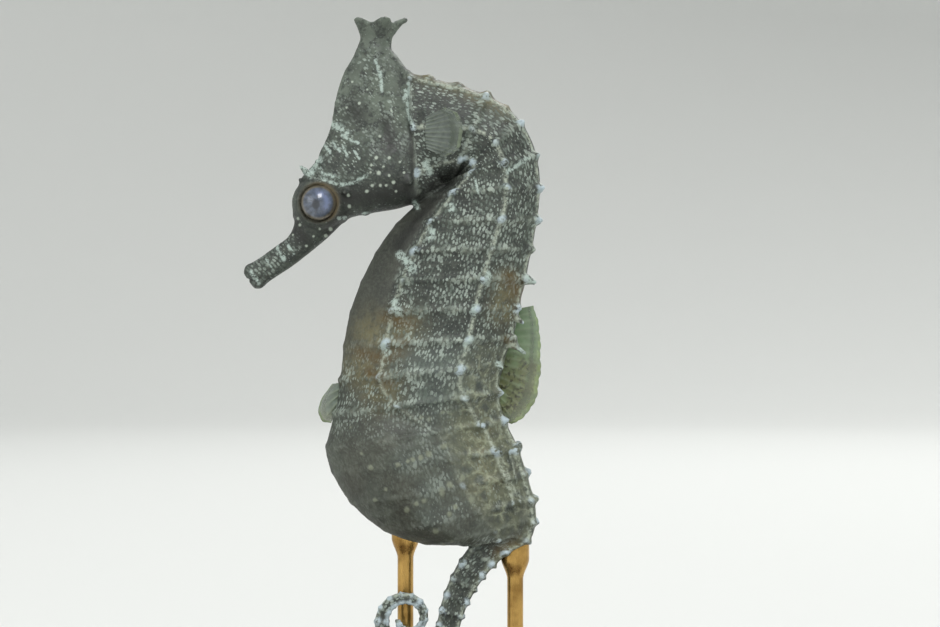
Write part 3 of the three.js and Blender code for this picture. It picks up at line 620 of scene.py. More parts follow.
BODY_RUST = (
    (((-9.8, 49.9), (-7.6, 49.3), (-4.9, 50.0)), 0.95), (((-6.4, 54.2), (-3.6, 53.6)), 0.9),
    (((-8.8, 47.6), (-6.0, 46.2)), 0.7), (((-5.0, 51.8), (-3.8, 50.6)), 0.6),
    (((8.6, 59.0), (10.0, 57.2)), 1.2), (((8.2, 51.6), (9.2, 50.6)), 0.5), (((7.8, 24.9), (9.8, 26.0)), 1.2),
)
BODY_OLIVE = (
    (((-8.4, 52.4), (-4.4, 52.4)), 2.6), (((-9.8, 48.4), (-7.0, 45.6)), 2.9),
    (((-7.6, 51.6), (-6.4, 51.2)), 1.1), (((8.4, 58.0), (7.8, 55.0)), 1.8), (((4.6, 40.6), (5.6, 33.6)), 2.2),
    (((-2.0, 85.0), (3.4, 83.2), (8.4, 80.6)), 1.5),
)
# Raised ridges and swellings of the head: a line, its half width and its height.
HEAD_SWELLS = (
    (((-7.4, 73.2), (-6.8, 71.6)), 2.1, 0.5),
    (((-14.4, 72.2), (-12.9, 74.6), (-12.0, 77.6), (-11.2, 81.0), (-9.9, 85.4)), 0.5, 0.3),
    (((-10.6, 71.2), (-8.8, 74.4), (-7.2, 78.4), (-7.1, 82.4), (-7.6, 87.2)), 0.5, 0.32),
    (((-21.4, 61.2), (-18.9, 63.4), (-17.6, 65.6)), 0.45, 0.16),
    (((-12.2, 66.7),), 0.5, 0.3),
    (((-9.3, 67.5),), 0.5, 0.25),
    (((-18.1, 66.9),), 0.5, 0.25),
)
# The fleshy lobes that the pectoral fins grow from.
FIN_LOBE = (((-1.7, 79.0), (-1.9, 77.1), (-1.7, 75.2)), 0.9, 0.6)
# Where the head carries fine dashes like the trunk's, and where the flank is frosted.
HEAD_DASHES = (
    (((-12.6, 77.4), (-11.0, 74.2)), 4.4), (((-22.6, 59.8), (-18.4, 63.6)), 1.6),
    (((-9.0, 85.6), (-6.6, 81.0), (-5.4, 77.0)), 2.0),
)
FROST = (
    (((-2.4, 49.2), (1.6, 48.0), (2.6, 45.6)), 3.2), (((-1.6, 44.6), (0.6, 43.6)), 2.6),
)
POUCH_GRAIN = (
    (((-4.0, 36.6), (1.6, 38.2)), 1.5), (((-1.6, 40.4), (3.4, 40.8)), 1.6),
    (((-1.4, 33.4), (3.4, 35.4)), 1.5), (((-1.6, 29.6), (3.8, 31.4)), 1.5),
)
# Low bony bumps along the nape.
NAPE_BUMPS = (
    ((-1.2, 84.6), 0.7), ((2.4, 83.6), 0.8), ((6.2, 82.4), 0.7), ((8.6, 80.9), 0.6),
)
# Cuts of the mouth and of the gill openings, sunk into the skin and darkened with painted shade: a line and
# its half width.
GROOVES = (
    (((-23.9, 59.0), (-23.0, 58.9), (-22.4, 59.2)), 0.17),
    (((-3.45, 78.2), (-3.3, 75.0), (-3.1, 71.8)), 0.22),
)


def painted(places, marks):
    return np.maximum.reduce([near_stroke(places, stroke, radius) for stroke, radius in marks])


def spotted(places, marks):
    return np.maximum.reduce([near_stroke(places, (place,), radius) for place, radius in marks])


def make_skin():
    lofts, head = skin_parts()
    places, polygons, edges = remeshed([loft.mesh() for loft in lofts] + head)
    places = relaxed(places, edges, SKIN_SOFTENING)
    fields = carried(lofts, places)
    fields = relaxed(fields, edges, SKIN_SOFTENING)
    ring, pitch, arc, superior, lateral, inferior, share, half, along = fields.T
    on_head = relaxed(head_share(places), edges, 2)
    body = 1 - on_head
    size = np.clip(half / FULL_HALF_WIDTH, 0.08, 1.1)

    # Relief of the body: a ridge at each ring, lines along the ridges and a tubercle where they cross.
    ring_number = np.round(ring)
    from_ring = np.abs(ring - ring_number) * pitch
    belly = smoothstep(0.25, 1.6, inferior) * smoothstep(3.6, 5.5, ring) * smoothstep(11.6, 9.4, ring)
    pouch = smoothstep(0.24, 0.34, share) * smoothstep(11.4, 13.4, ring) * smoothstep(19, 16.5, ring)
    plain = np.clip(1 - 0.8 * belly - 0.72 * pouch, 0, 1)
    ring_width = np.clip(0.15 * pitch, 0.1, 0.5)
    band = bump(from_ring, ring_width)
    lines = [bump(ridge, 0.45 * np.sqrt(size)) for ridge in (superior, lateral, inferior)]
    relief = RING_RIDGE * band * plain * np.sqrt(size)
    for n, (line, ridge) in enumerate(zip(lines, (superior, lateral, inferior))):
        strong = 0.65 + 0.7 * ring_hash(ring_number, n)
        knob = bump(from_ring, 0.5 * np.sqrt(size)) * bump(ridge, 0.5 * np.sqrt(size))
        outside = 1 if n < 2 else smoothstep(4.2, 5.2, ring)
        height = TUBERCLES[n] * strong * knob * outside
        relief = relief + (0.12 * line + height) * size * (1 - 0.6 * pouch)
    relief = relief - 0.14 * size * plain * (1 - band) * (1 - np.maximum.reduce(lines))
    grain = value_noise(places, 0.9, 1)
    fine = value_noise(places, 0.4, 2)
    tips = [(tip[0], tip[2]) for tip, root in BACK_TUBERCLES]
    stalks = spotted(places, [(tip, STALK_CLEARING) for tip in tips])
    grainy = (0.05 * grain + 0.025 * fine) * (1 - 0.6 * belly) * np.clip(size * 1.4, 0.15, 1)
    relief = body * relief * (1 - stalks) + grainy
    dots = np.maximum(spotted(places, HEAD_DOTS), 0.7 * spotted(places, POUCH_SPOTS) * pouch)
    relief = relief + 0.07 * dots - 0.22 * painted(places, GROOVES) + 0.5 * spotted(places, NAPE_BUMPS)
    for stroke, radius, height in HEAD_SWELLS:
        relief = relief + height * on_head * near_stroke(places, stroke, radius)
    stroke, radius, height = FIN_LOBE
    relief = relief + height * near_stroke(places, stroke, radius) * smoothstep(2.0, 3.2, np.abs(places[:, 1]))
    normals = normals_of(places, polygons)
    places = places + normals * relief[:, None]
    places = relaxed(places, edges, 1, 0.35)

    skin = new_object("skin", places, polygons)
    add_value(skin, "on_head", on_head)
    add_value(skin, "belly", belly * body)
    add_value(skin, "pouch", pouch * body)
    add_value(skin, "band", band * body)
    side = np.sign(places[:, 1])
    side[side == 0] = 1
    x, z = places[:, 0], places[:, 2]
    rows = (along * (1 - on_head) + (0.75 * x - 0.66 * z) * on_head,
            arc * side * (1 - on_head) + (0.66 * x + 0.75 * z) * on_head)
    add_vector(skin, "speckle_place", np.stack([*rows, np.zeros_like(arc)], axis=1))
    add_value(skin, "brow", painted(places, HEAD_DASHES) * on_head)
    add_value(skin, "frost", np.maximum(painted(places, FROST), 0.6 * painted(places, POUCH_GRAIN)))
    add_vector(skin, "place", places)
    knobs = np.zeros(len(places))
    for n, ridge in enumerate((superior, lateral, inferior)):
        strong = 0.45 + 0.65 * ring_hash(ring_number + 3, n)
        knobs = np.maximum(knobs, strong * bump(from_ring, 0.85) * bump(ridge, 0.75))
    off_middle = smoothstep(1.4, 2.6, np.abs(places[:, 1]))
    knobs = np.maximum(knobs, 0.75 * off_middle * spotted(places, [(tip, 0.6) for tip in tips]))
    add_value(skin, "knob", knobs * body)
    add_value(skin, "pale", np.maximum(painted(places, HEAD_PALE), off_middle * painted(places, BODY_PALE)))
    add_value(skin, "dots", spotted(places, HEAD_DOTS))
    add_value(skin, "pouch_spots", spotted(places, POUCH_SPOTS))
    # Dark head markings, with painted shade in the throat crease and in the cuts of the mouth and gills.
    add_value(skin, "dark", np.maximum(painted(places, HEAD_DARK_AND_CREASE_SHADE), painted(places, GROOVES)))
    add_value(skin, "rust", painted(places, BODY_RUST) * body)
    add_value(skin, "olive", painted(places, BODY_OLIVE) * body)
    web = smoothstep(9.5, 11.5, ring) * smoothstep(0.42, 0.26, share) * smoothstep(24, 18, ring)
    add_value(skin, "web", web * body)
    add_value(skin, "crown", smoothstep(74, 79, places[:, 2]) * on_head)
    from_eye = np.hypot(places[:, 0] - EYE[0], places[:, 2] - EYE[2])
    back_of_eye = smoothstep(-1.5, 1.5, places[:, 0] - EYE[0] + 0.5 * (places[:, 2] - EYE[2]))
    add_value(skin, "eye_rim", bump(from_eye - EYE_RADIUS - 0.05, 0.3) * on_head * (0.25 + 0.75 * back_of_eye))
    ridge_lines = np.maximum.reduce([bump(superior, 0.28), bump(lateral, 0.28), 0.7 * bump(inferior, 0.28)])
    add_value(skin, "ridge_line", ridge_lines * body)
    return skin


# ------------------------------------------------------------------ materials


class Look:
    """A material under construction: nodes are added and wired by short calls."""

    def __init__(self, name):
        self.material = bpy.data.materials.new(name)
        self.material.use_nodes = True
        self.tree = self.material.node_tree
        self.shader = self.tree.nodes["Principled BSDF"]

    def node(self, kind, settings=(), **inputs):
        made = self.tree.nodes.new("ShaderNode" + kind)
        for name, value in dict(settings).items():
            setattr(made, name, value)
        for name, value in inputs.items():
            self.feed(made.inputs[name.replace("_", " ")], value)
        return made

    def feed(self, socket, value):
        if isinstance(value, bpy.types.NodeSocket):
            self.tree.links.new(value, socket)
        else:
            socket.default_value = value

    def attribute(self, name):
        return self.node("Attribute", {"attribute_name": name}).outputs["Fac"]

    def vector(self, name):
        return self.node("Attribute", {"attribute_name": name}).outputs["Vector"]

    def math(self, operation, a, b=0.0, clamp=False):
        made = self.node("Math", {"operation": operation, "use_clamp": clamp})
        self.feed(made.inputs[0], a)
        self.feed(made.inputs[1], b)
        return made.outputs[0]

    def times(self, a, b, clamp=False):
        return self.math("MULTIPLY", a, b, clamp)

    def plus(self, a, b):
        return self.math("ADD", a, b)

    def minus(self, a, b):
        return self.math("SUBTRACT", a, b)

    def most(self, a, b, clamp=False):
        return self.math("MAXIMUM", a, b, clamp)

    def rest(self, value):
        """What is left of 1."""
        return self.math("SUBTRACT", 1.0, value)

    def ramp(self, value, low, high, to_low=0.0, to_high=1.0):
        made = self.node("MapRange", {"interpolation_type": "SMOOTHSTEP"}, Value=value,
                         From_Min=low, From_Max=high, To_Min=to_low, To_Max=to_high)
        return made.outputs["Result"]

    def mix(self, factor, a, b):
        made = self.node("Mix", {"data_type": "RGBA"})
        self.feed(made.inputs["Factor"], factor)
        self.feed(made.inputs[6], colour(a))
        self.feed(made.inputs[7], colour(b))
        return made.outputs[2]

    def over(self, base, tint, *factors):
        """A tint laid over a base, as strong as its factors' product."""
        strength = factors[0]
        for factor in factors[1:]:
            strength = self.times(strength, factor)
        return self.mix(strength, base, tint)

    def noise(self, vector, scale, detail=3.0, roughness=0.55):
        made = self.node("TexNoise", Vector=vector, Scale=scale, Detail=detail, Roughness=roughness)
        return made.outputs["Fac"]

    def cells(self, vector, scale, randomness=0.8, flat=False, edge=False):
        settings = {"voronoi_dimensions": "2D" if flat else "3D",
                    "feature": "DISTANCE_TO_EDGE" if edge else "F1"}
        return self.node("TexVoronoi", settings, Vector=vector, Scale=scale, Randomness=randomness)

    def stretched(self, vector, stretch):
        made = self.node("VectorMath", {"operation": "MULTIPLY"})
        self.feed(made.inputs[0], vector)
        self.feed(made.inputs[1], stretch)
        return made.outputs[0]

    def bump(self, height, distance, strength=1.0, below=None):
        made = self.node("Bump", Height=height, Distance=distance * MM, Strength=strength)
        if below is not None:
            self.feed(made.inputs["Normal"], below)
        return made.outputs["Normal"]

    def finish(self, **inputs):
        for name, value in inputs.items():
            self.feed(self.shader.inputs[name.replace("_", " ")], value)
        return self.material


def colour(value):
    """A socket as it is, or screen colours from 0 to 255 as linear ones."""
    if isinstance(value, bpy.types.NodeSocket):
        return value
    linear = [((c / 255 + 0.055) / 1.055) ** 2.4 if c > 10 else c / 255 / 12.92 for c in value]
    return (*linear, 1.0)


def skin_look():
    look = Look("skin")
    place = look.vector("place")
    rows = look.vector("speckle_place")
    head = look.attribute("on_head")
    belly = look.attribute("belly")
    pouch = look.attribute("pouch")
    dark = look.attribute("dark")
    web = look.attribute("web")
    frost = look.attribute("frost")
    rust = look.attribute("rust")

    broad = look.noise(place, 0.16, 4.0)
    patchy = look.noise(place, 0.45, 4.0)
    mottle = look.noise(place, 0.95, 5.0, 0.65)
    gritty = look.noise(place, 2.6, 3.0)

    # The ground: charcoal with olive clouds, paler and greyer on the crown.
    ground = look.mix(look.ramp(broad, 0.35, 0.65), (42, 47, 43), (62, 69, 62))
    crown = look.mix(look.ramp(broad, 0.35, 0.65), (76, 84, 75), (104, 114, 102))
    ground = look.over(ground, (34, 38, 36), look.ramp(patchy, 0.52, 0.36, 0, 0.55))
    ground = look.over(ground, crown, look.attribute("crown"))
    ground = look.over(ground, (42, 46, 44), look.ramp(mottle, 0.46, 0.6, 0, 0.85))
    smooth = look.mix(look.ramp(patchy, 0.3, 0.7), (52, 56, 49), (76, 81, 71))
    smooth = look.over(smooth, (58, 55, 45), look.ramp(broad, 0.42, 0.6), 0.5)
    ground = look.over(ground, smooth, pouch)
    ground = look.over(ground, look.mix(look.ramp(broad, 0.3, 0.7), (46, 48, 43), (60, 62, 54)), belly)
    ground = look.over(ground, (108, 102, 70),
                       look.attribute("olive"), look.ramp(mottle, 0.35, 0.6, 0.3, 0.9))
    ground = look.over(ground, (82, 66, 30), rust, look.ramp(mottle, 0.3, 0.5, 0.5, 1.0))
    ground = look.over(ground, (92, 101, 97), frost, 0.55)
    ground = look.over(ground, (116, 122, 110), look.ramp(gritty, 0.4, 0.65), 0.22)
    # Dark head markings, and painted shade in the throat crease and in the cuts of the mouth and gills.
    ground = look.over(ground, (36, 37, 34), dark, 0.85)

    # Fine pale dashes in rows along the rings, and round dots on the head.
    warp = look.node("TexNoise", Vector=place, Scale=1.1, Detail=2.0)
    warped = look.node("MixRGB", {"blend_type": "ADD"}, Fac=0.35, Color1=rows, Color2=warp.outputs["Color"])
    dashes = look.cells(look.stretched(warped.outputs[0], (1.35, 2.5, 1.0)), 1.0, 0.9, flat=True)
    fine_dots = look.cells(place, 3.1, 1.0)
    head_dots = look.cells(place, 1.7, 1.0)
    density = look.ramp(patchy, 0.34, 0.62, 0.12, 0.38)
    row_density = look.plus(density, look.times(look.attribute("band"), 0.14))
    row_density = look.plus(row_density, look.times(frost, 0.1))
    dash = look.ramp(look.minus(row_density, dashes.outputs["Distance"]), -0.05, 0.08)
    dot = look.ramp(look.minus(look.times(density, 0.62), head_dots.outputs["Distance"]),
                    -0.04, 0.05)
    fine = look.ramp(look.minus(density, fine_dots.outputs["Distance"]), -0.06, 0.08)
    fine = look.times(fine, look.ramp(mottle, 0.4, 0.6, 0.1, 0.7))
    speckle = look.mix(head, look.most(dash, fine),
                       look.times(look.most(dot, fine), 0.7))
    speckle = look.most(speckle, look.times(dash, look.attribute("brow")))
    speckle = look.most(speckle, look.times(look.most(fine, dash), frost))
    quiet = look.most(look.times(belly, 0.98), look.times(pouch, 0.88))
    quiet = look.most(quiet, look.times(dark, 0.85))
    quiet = look.most(quiet, look.times(rust, 0.7))
    quiet = look.times(quiet, look.rest(look.times(frost, 0.8)))
    speckle = look.times(speckle, look.rest(quiet))
    tone = look.mix(look.ramp(look.noise(place, 0.8), 0.35, 0.65), (92, 103, 94), (168, 180, 170))
    shade = look.mix(look.times(speckle, 0.75), ground, tone)

    # Olive and cream growths between dark blotches over the back of the pouch and the tail.
    tangled = look.node("TexNoise", Vector=place, Scale=0.55, Detail=6.0, Roughness=0.7)
    warped_place = look.node("MixRGB", {"blend_type": "ADD"}, Fac=5.0, Color1=place,
                             Color2=tangled.outputs["Color"])
    edges = look.cells(warped_place.outputs[0], 0.62, 1.0, edge=True)
    from_edge = look.plus(edges.outputs["Distance"], look.times(gritty, 0.3))
    growth = look.noise(warped_place.outputs[0], 0.7, 5.0, 0.7)
    shade = look.over(shade, (106, 110, 88), web, look.ramp(growth, 0.36, 0.6, 0.1, 0.75))
    blotch = look.times(look.ramp(from_edge, 0.28, 0.5), look.ramp(patchy, 0.4, 0.56, 0.1, 0.8))
    shade = look.over(shade, (54, 60, 58), blotch, web)
    net = look.times(look.ramp(from_edge, 0.3, 0.1), look.ramp(mottle, 0.44, 0.58, 0.0, 0.8))
    shade = look.over(shade, (154, 160, 136), net, web)

    # Pale ring lines, ridge lines, knobs, streaks and dots, all worn through in places.
    frayed = look.ramp(look.noise(place, 1.9, 5.0, 0.75), 0.38, 0.6)
    lines = look.times(look.attribute("band"), look.ramp(patchy, 0.4, 0.65, 0.0, 0.4))
    lines = look.most(lines, look.attribute("ridge_line"))
    lines = look.times(lines, look.rest(belly))
    lines = look.times(lines, look.rest(look.times(pouch, 0.75)))
    shade = look.over(shade, (168, 176, 160), lines, frayed)
    knobs = look.times(look.attribute("knob"), look.ramp(mottle, 0.36, 0.56, 0.3, 1.0), True)
    knobs = look.times(knobs, look.rest(look.times(pouch, 0.5)))
    shade = look.over(shade, (184, 200, 208), look.ramp(knobs, 0.25, 0.8, 0, 0.85))
    pale = look.times(look.attribute("pale"), look.plus(0.25, frayed))
    shade = look.over(shade, (178, 194, 186), look.ramp(pale, 0.12, 0.95, 0, 0.85))
    dots = look.plus(look.attribute("dots"), look.times(look.minus(gritty, 0.5), 0.5))
    shade = look.over(shade, (180, 190, 176), look.ramp(dots, 0.3, 0.85, 0, 0.85))
    spots = look.times(look.attribute("pouch_spots"), pouch)
    spots = look.plus(spots, look.times(look.minus(mottle, 0.5), 1.6))
    shade = look.over(shade, (140, 146, 124), look.ramp(spots, 0.2, 0.9, 0, 0.6))
    shade = look.over(shade, (108, 96, 72), look.attribute("eye_rim"), 0.85)

    pores = look.cells(place, 3.4, 1.0)
    normal = look.bump(pores.outputs["Distance"], 0.05, 0.5)
    normal = look.bump(speckle, 0.05, 0.6, normal)
    normal = look.bump(mottle, 0.2, 0.5, normal)
    roughness = look.ramp(gritty, 0.3, 0.7, 0.46, 0.66)
    return look.finish(Base_Color=shade, Normal=normal, Roughness=roughness)


def eye_look():
    look = Look("eye")
    off_axis = look.attribute("off_axis")
    place = look.vector("place")
    streaks = look.noise(look.vector("streaks"), 1.0, 4.0)
    iris = look.mix(look.ramp(streaks, 0.35, 0.65), (64, 72, 84), (90, 100, 118))
    iris = look.over(iris, (104, 117, 150), look.attribute("crescent"))
    rim = look.mix(look.ramp(streaks, 0.3, 0.7), (74, 68, 54), (108, 98, 76))
    shade = look.mix(look.ramp(off_axis, 1.7, 2.0), iris, rim)
    shade = look.over(shade, (46, 43, 36), look.ramp(off_axis, 2.05, 2.2))
    shade = look.over(shade, (34, 36, 42), look.attribute("pupil"), 0.85)
    shade = look.over(shade, (70, 66, 66), look.ramp(look.noise(place, 2.4, 4.0), 0.5, 0.7, 0, 0.4))
    look.shader.inputs["Coat Weight"].default_value = 1.0
    look.shader.inputs["Coat Roughness"].default_value = 0.08
    return look.finish(Base_Color=shade, Roughness=0.4)


def fin_look(name, clear, cloudy, mottled, edge_tint, least_solid, ray_tint):
    look = Look(name)
    ray = look.attribute("ray")
    out = look.attribute("out")
    spotted_part = look.attribute("spotted")
    place = look.vector("place")
    cloud = look.noise(place, 0.8, 4.0)
    shade = look.mix(look.ramp(cloud, 0.3, 0.7), clear, cloudy)
    shade = look.over(shade, mottled, spotted_part, look.ramp(cloud, 0.3, 0.6, 0.5, 0.95))
    shade = look.over(shade, (160, 170, 142), ray, ray_tint)
    inner_line = look.times(look.ramp(out, 0.66, 0.74), look.ramp(out, 0.86, 0.78))
    shade = look.over(shade, (62, 74, 52), inner_line, 0.4)
    margin = look.times(look.ramp(out, 0.86, 0.93), look.ramp(cloud, 0.36, 0.52, 0.25, 1.0))
    shade = look.over(shade, edge_tint, margin, 0.6)
    flecks = look.times(look.ramp(look.noise(place, 2.1, 3.0), 0.5, 0.57), look.ramp(out, 1.0, 0.4))
    flecks = look.times(flecks, look.times(spotted_part, look.ramp(cloud, 0.4, 0.5)))
    shade = look.over(shade, (44, 42, 28), flecks, 0.85)
    membrane = look.ramp(out, 0.95, 0.0, least_solid, 0.95)
    solid = look.most(look.times(ray, 0.85), membrane)
    solid = look.most(solid, look.times(margin, 0.85))
    solid = look.most(solid, flecks, True)
    look.shader.inputs["Specular IOR Level"].default_value = 0.4
    normal = look.bump(ray, 0.05, 0.5)
    return look.finish(Base_Color=shade, Alpha=solid, Roughness=0.42, Normal=normal)


def wood_look():
    look = Look("base_wood")
    place = look.vector("place")
    grain = look.stretched(place, (0.05, 0.9, 0.9))
    figure = look.noise(grain, 0.55, 6.0, 0.6)
    pores = look.noise(look.stretched(place, (0.35, 6.0, 6.0)), 1.0, 3.0)
    shade = look.mix(look.ramp(figure, 0.3, 0.7), (46, 30, 22), (92, 62, 42))
    shade = look.over(shade, (30, 19, 14), look.ramp(pores, 0.55, 0.75, 0, 0.7))
    normal = look.bump(pores, 0.06, 0.5)
    roughness = look.ramp(figure, 0.3, 0.7, 0.34, 0.5)
    look.shader.inputs["Coat Weight"].default_value = 0.25
    look.shader.inputs["Coat Roughness"].default_value = 0.25
    return look.finish(Base_Color=shade, Normal=normal, Roughness=roughness)


def brass_look():
    look = Look("rod_brass")
    place = look.vector("place")
    brushed = look.noise(look.stretched(place, (6.0, 6.0, 0.4)), 1.0, 3.0)
    tarnish = look.noise(place, 0.35, 4.0)
    shade = look.mix(look.ramp(tarnish, 0.35, 0.7), (196, 158, 92), (150, 116, 64))
    roughness = look.ramp(brushed, 0.3, 0.7, 0.22, 0.4)
    look.shader.inputs["Metallic"].default_value = 1.0
    return look.finish(Base_Color=shade, Roughness=roughness, Normal=look.bump(brushed, 0.02, 0.4))


def dress(obj, material, slot, *nodes):
    """Gives a finished piece its material and its place on the body, and hides the CAD nodes that it stands
    for.
    """
    places = np.empty(len(obj.data.vertices) * 3)
    obj.data.vertices.foreach_get("co", places)
    if "place" not in obj.data.attributes:
        add_vector(obj, "place", places.reshape(-1, 3) / MM)
    obj.data.materials.append(material)
    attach(obj, "root")
    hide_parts(*nodes)


FLESH_NODES = ("head", "snout", "coronet", "neck", "chest", "trunk", "brood_pouch",
               "tail_base", "tail_bend", "tail_sweep", "tail_curl", "tail_tip")
skin = make_skin()
dress(skin, skin_look(), "skin", *FLESH_NODES)

# ------------------------------------------------------------------ eyes


def make_eye(side, name):
    """An eyeball with a low bulge in front, its pole facing sideways."""
    rows = []
    for angle in np.linspace(0, math.pi, 60)[1:-1]:
        bulge = 0.1 * bump(angle, 0.45)
        rows.append((math.cos(angle) * (EYE_RADIUS + bulge), math.sin(angle) * (EYE_RADIUS + bulge)))
    centre = (EYE[0], EYE[1] * side, EYE[2])
    vertices, faces = lathe(rows, centre, (0, side, 0), 72)
    eye = new_object(name, vertices, faces)
    flat = vertices - np.array(centre)
    off_axis = np.hypot(flat[:, 0], flat[:, 2])
    angle = np.arctan2(flat[:, 2], flat[:, 0])
    front = flat[:, 1] * side > 0
    add_value(eye, "off_axis", off_axis)
    pupil = smoothstep(0.72, 0.4, np.hypot((flat[:, 0] + 0.2) * 1.2, (flat[:, 2] + 0.25) * 0.9))
    add_value(eye, "pupil", pupil * front)
    crescent = bump(off_axis - 1.15, 0.4) * smoothstep(-0.2, 0.7, np.cos(angle - 0.35))
    add_value(eye, "crescent", crescent * front)
    add_vector(eye, "streaks", np.stack([np.cos(angle) * 3, np.sin(angle) * 3, off_axis * 1.2], axis=1))
    return eye


eye_material = eye_look()
for side, word in ((-1, "left"), (1, "right")):
    dress(make_eye(side, "eyeball_" + word), eye_material, "eye", "eye_" + word)

# ------------------------------------------------------------------ fins


def make_fin(name, roots, tips, rays, thickness, place_point, ripple=0.0):
    """A membrane stiffened by rays. roots and tips are curves through (x, z) points in the fin's own plane.

    place_point turns a point in that plane and a distance across it into a place in the model.
    """
    across = np.linspace(0, 1, (rays - 1) * 12 + 1)
    out = np.linspace(0, 1, 26)
    root = spline([(n / (len(roots) - 1), *point) for n, point in enumerate(roots)], across)
    tip = spline([(n / (len(tips) - 1), *point) for n, point in enumerate(tips)], across)
    phase = across * (rays - 1)
    on_ray = bump(phase - np.round(phase), 0.2)
    scallop = 0.022 * (1 - np.abs(np.cos(math.pi * phase))) + 0.012 * np.sin(phase * 2.3)
    reach = 1 - scallop
    vertices = []
    ray = []
    outward = []
    for face in (1, -1):
        for i, o in enumerate(out):
            flat = root + (tip - root) * (o * reach)[:, None]
            half = thickness * (0.28 + 0.72 * on_ray) * (1 - 0.75 * o) / 2
            wave = ripple * o * np.sin(phase * 1.7)
            for n in range(len(across)):
                vertices.append(place_point(flat[n], half[n] * face + wave[n]))
            ray.extend(on_ray * (1 - 0.3 * o))
            outward.extend([o] * len(across))
    count = len(across)
    layer = count * len(out)
    faces = []
    for i in range(len(out) - 1):
        for n in range(count - 1):
            a = i * count + n
            faces.append((a, a + 1, a + count + 1, a + count))
            faces.append((layer + a, layer + a + count, layer + a + count + 1, layer + a + 1))
    border = list(range(count))
    border += [i * count + count - 1 for i in range(1, len(out))]
    border += [(len(out) - 1) * count + n for n in range(count - 2, -1, -1)]
    border += [i * count for i in range(len(out) - 2, 0, -1)]
    for n, a in enumerate(border):
        b = border[(n + 1) % len(border)]
        faces.append((b, a, layer + a, layer + b))
    fin = new_object(name, vertices, faces)
    add_value(fin, "ray", ray)
    add_value(fin, "out", outward)
    return fin


def upright(point, across):
    return (point[0], across, point[1])


dorsal = make_fin(
    "dorsal_fin_rayed",
    roots=((9.2, 55.3), (8.4, 51.6), (7.2, 48.2), (6.9, 45.0), (7.4, 42.2)),
    tips=((11.7, 55.8), (12.4, 53.2), (12.6, 50.0), (12.5, 46.6), (11.6, 43.2), (9.4, 41.1), (8.2, 41.3)),
    rays=18,
    thickness=0.34,
    place_point=upright,
    ripple=0.16,
)
heights = np.array([v.co.z for v in dorsal.data.vertices]) / MM
add_value(dorsal, "spotted", smoothstep(51, 47.5, heights))
dorsal_look = fin_look("dorsal_fin", (116, 142, 106), (98, 122, 86), (100, 104, 62),
                       (150, 168, 120), 0.66, 0.25)
dress(dorsal, dorsal_look, "fin", "dorsal_fin")

anal = make_fin(
    "anal_fin_rayed",
    roots=((-12.2, 46.2), (-12.6, 44.6), (-12.8, 43.0)),
    tips=((-13.5, 46.0), (-14.8, 44.2), (-15.2, 42.6), (-14.7, 41.3), (-13.6, 41.1)),
    rays=5,
    thickness=0.3,
    place_point=upright,
    ripple=0.1,
)
heights = np.array([v.co.z for v in anal.data.vertices]) / MM
add_value(anal, "spotted", 0.7 * smoothstep(43.5, 41.5, heights))
anal_look = fin_look("anal_fin", (116, 128, 118), (98, 108, 94), (106, 114, 66), (128, 142, 112), 0.55, 0.25)
dress(anal, anal_look, "fin", "anal_fin")

PECTORAL_ROOT = (-1.4, 4.2, 77.1)
PECTORAL_SPLAY = 0.36
pectoral_look = fin_look("pectoral_fin", (112, 120, 116), (90, 98, 94), (98, 106, 92),
                         (118, 130, 104), 0.62, 0.2)
for side, word in ((-1, "left"), (1, "right")):
    def place_point(point, across, side=side):
        x = point[0] * math.cos(PECTORAL_SPLAY) - across * math.sin(PECTORAL_SPLAY)
        y = point[0] * math.sin(PECTORAL_SPLAY) + across * math.cos(PECTORAL_SPLAY)
        return (PECTORAL_ROOT[0] + x, (PECTORAL_ROOT[1] + y) * side, PECTORAL_ROOT[2] + point[1])

    pectoral = make_fin(
        "pectoral_fin_rayed_" + word,
        roots=((-0.2, 2.0), (-0.4, 0.7), (-0.4, -0.7), (-0.2, -2.0)),
        tips=((2.3, 3.05), (4.0, 2.1), (4.55, 0.0), (4.0, -2.1), (2.3, -3.05)),
        rays=11,
        thickness=0.3,
        place_point=place_point,
        ripple=0.1,
    )
    add_value(pectoral, "spotted", np.full(len(pectoral.data.vertices), 0.2))
    dress(pectoral, pectoral_look, "fin", "pectoral_fin_" + word)

# ------------------------------------------------------------------ stand

BASE_LENGTH = 56.0
BASE_WIDTH = 36.0
BASE_HEIGHT = 6.0
BASE_CORNER = 7.0
ROD_RADIUS = 1.0
COLLAR_RADIUS = 2.2
ROD_TURNS = 64
COLLAR_HEIGHT = 1.5
CRADLE_RADIUS = 1.75
CRADLE_FLARE = 2.6
# Each rod: x, y, the height where its cradle starts, and its top.
TAIL_ROD = (9.4, 0.0, 22.9, 27.0)
POUCH_ROD = (-4.4, 3.1, 25.2, 29.6)


def make_base():
    """A rounded rectangular block with a small step and a round-over along its top edge."""
    profile = [(0.25, 0.0), (0.0, 0.25), (0.0, 4.1), (0.1, 4.3), (0.45, 4.4), (0.6, 4.5)]
    for n in range(9):
        angle = math.radians(90 * n / 8)
        profile.append((0.6 + 1.4 * (1 - math.cos(angle)), 4.6 + 1.4 * math.sin(angle)))
    rows = []
    for inset, height in profile:
        ring = []
        corner = BASE_CORNER - inset
        for quarter in range(4):
            x = (BASE_LENGTH / 2 - BASE_CORNER) * (1, -1, -1, 1)[quarter]
            y = (BASE_WIDTH / 2 - BASE_CORNER) * (1, 1, -1, -1)[quarter]
            for n in range(17):
                angle = math.radians(90 * (quarter + n / 16))
                ring.append((x + corner * math.cos(angle), y + corner * math.sin(angle), height))
        rows.append(ring)
    return new_object("base_block", *loft_mesh(np.array(rows)))


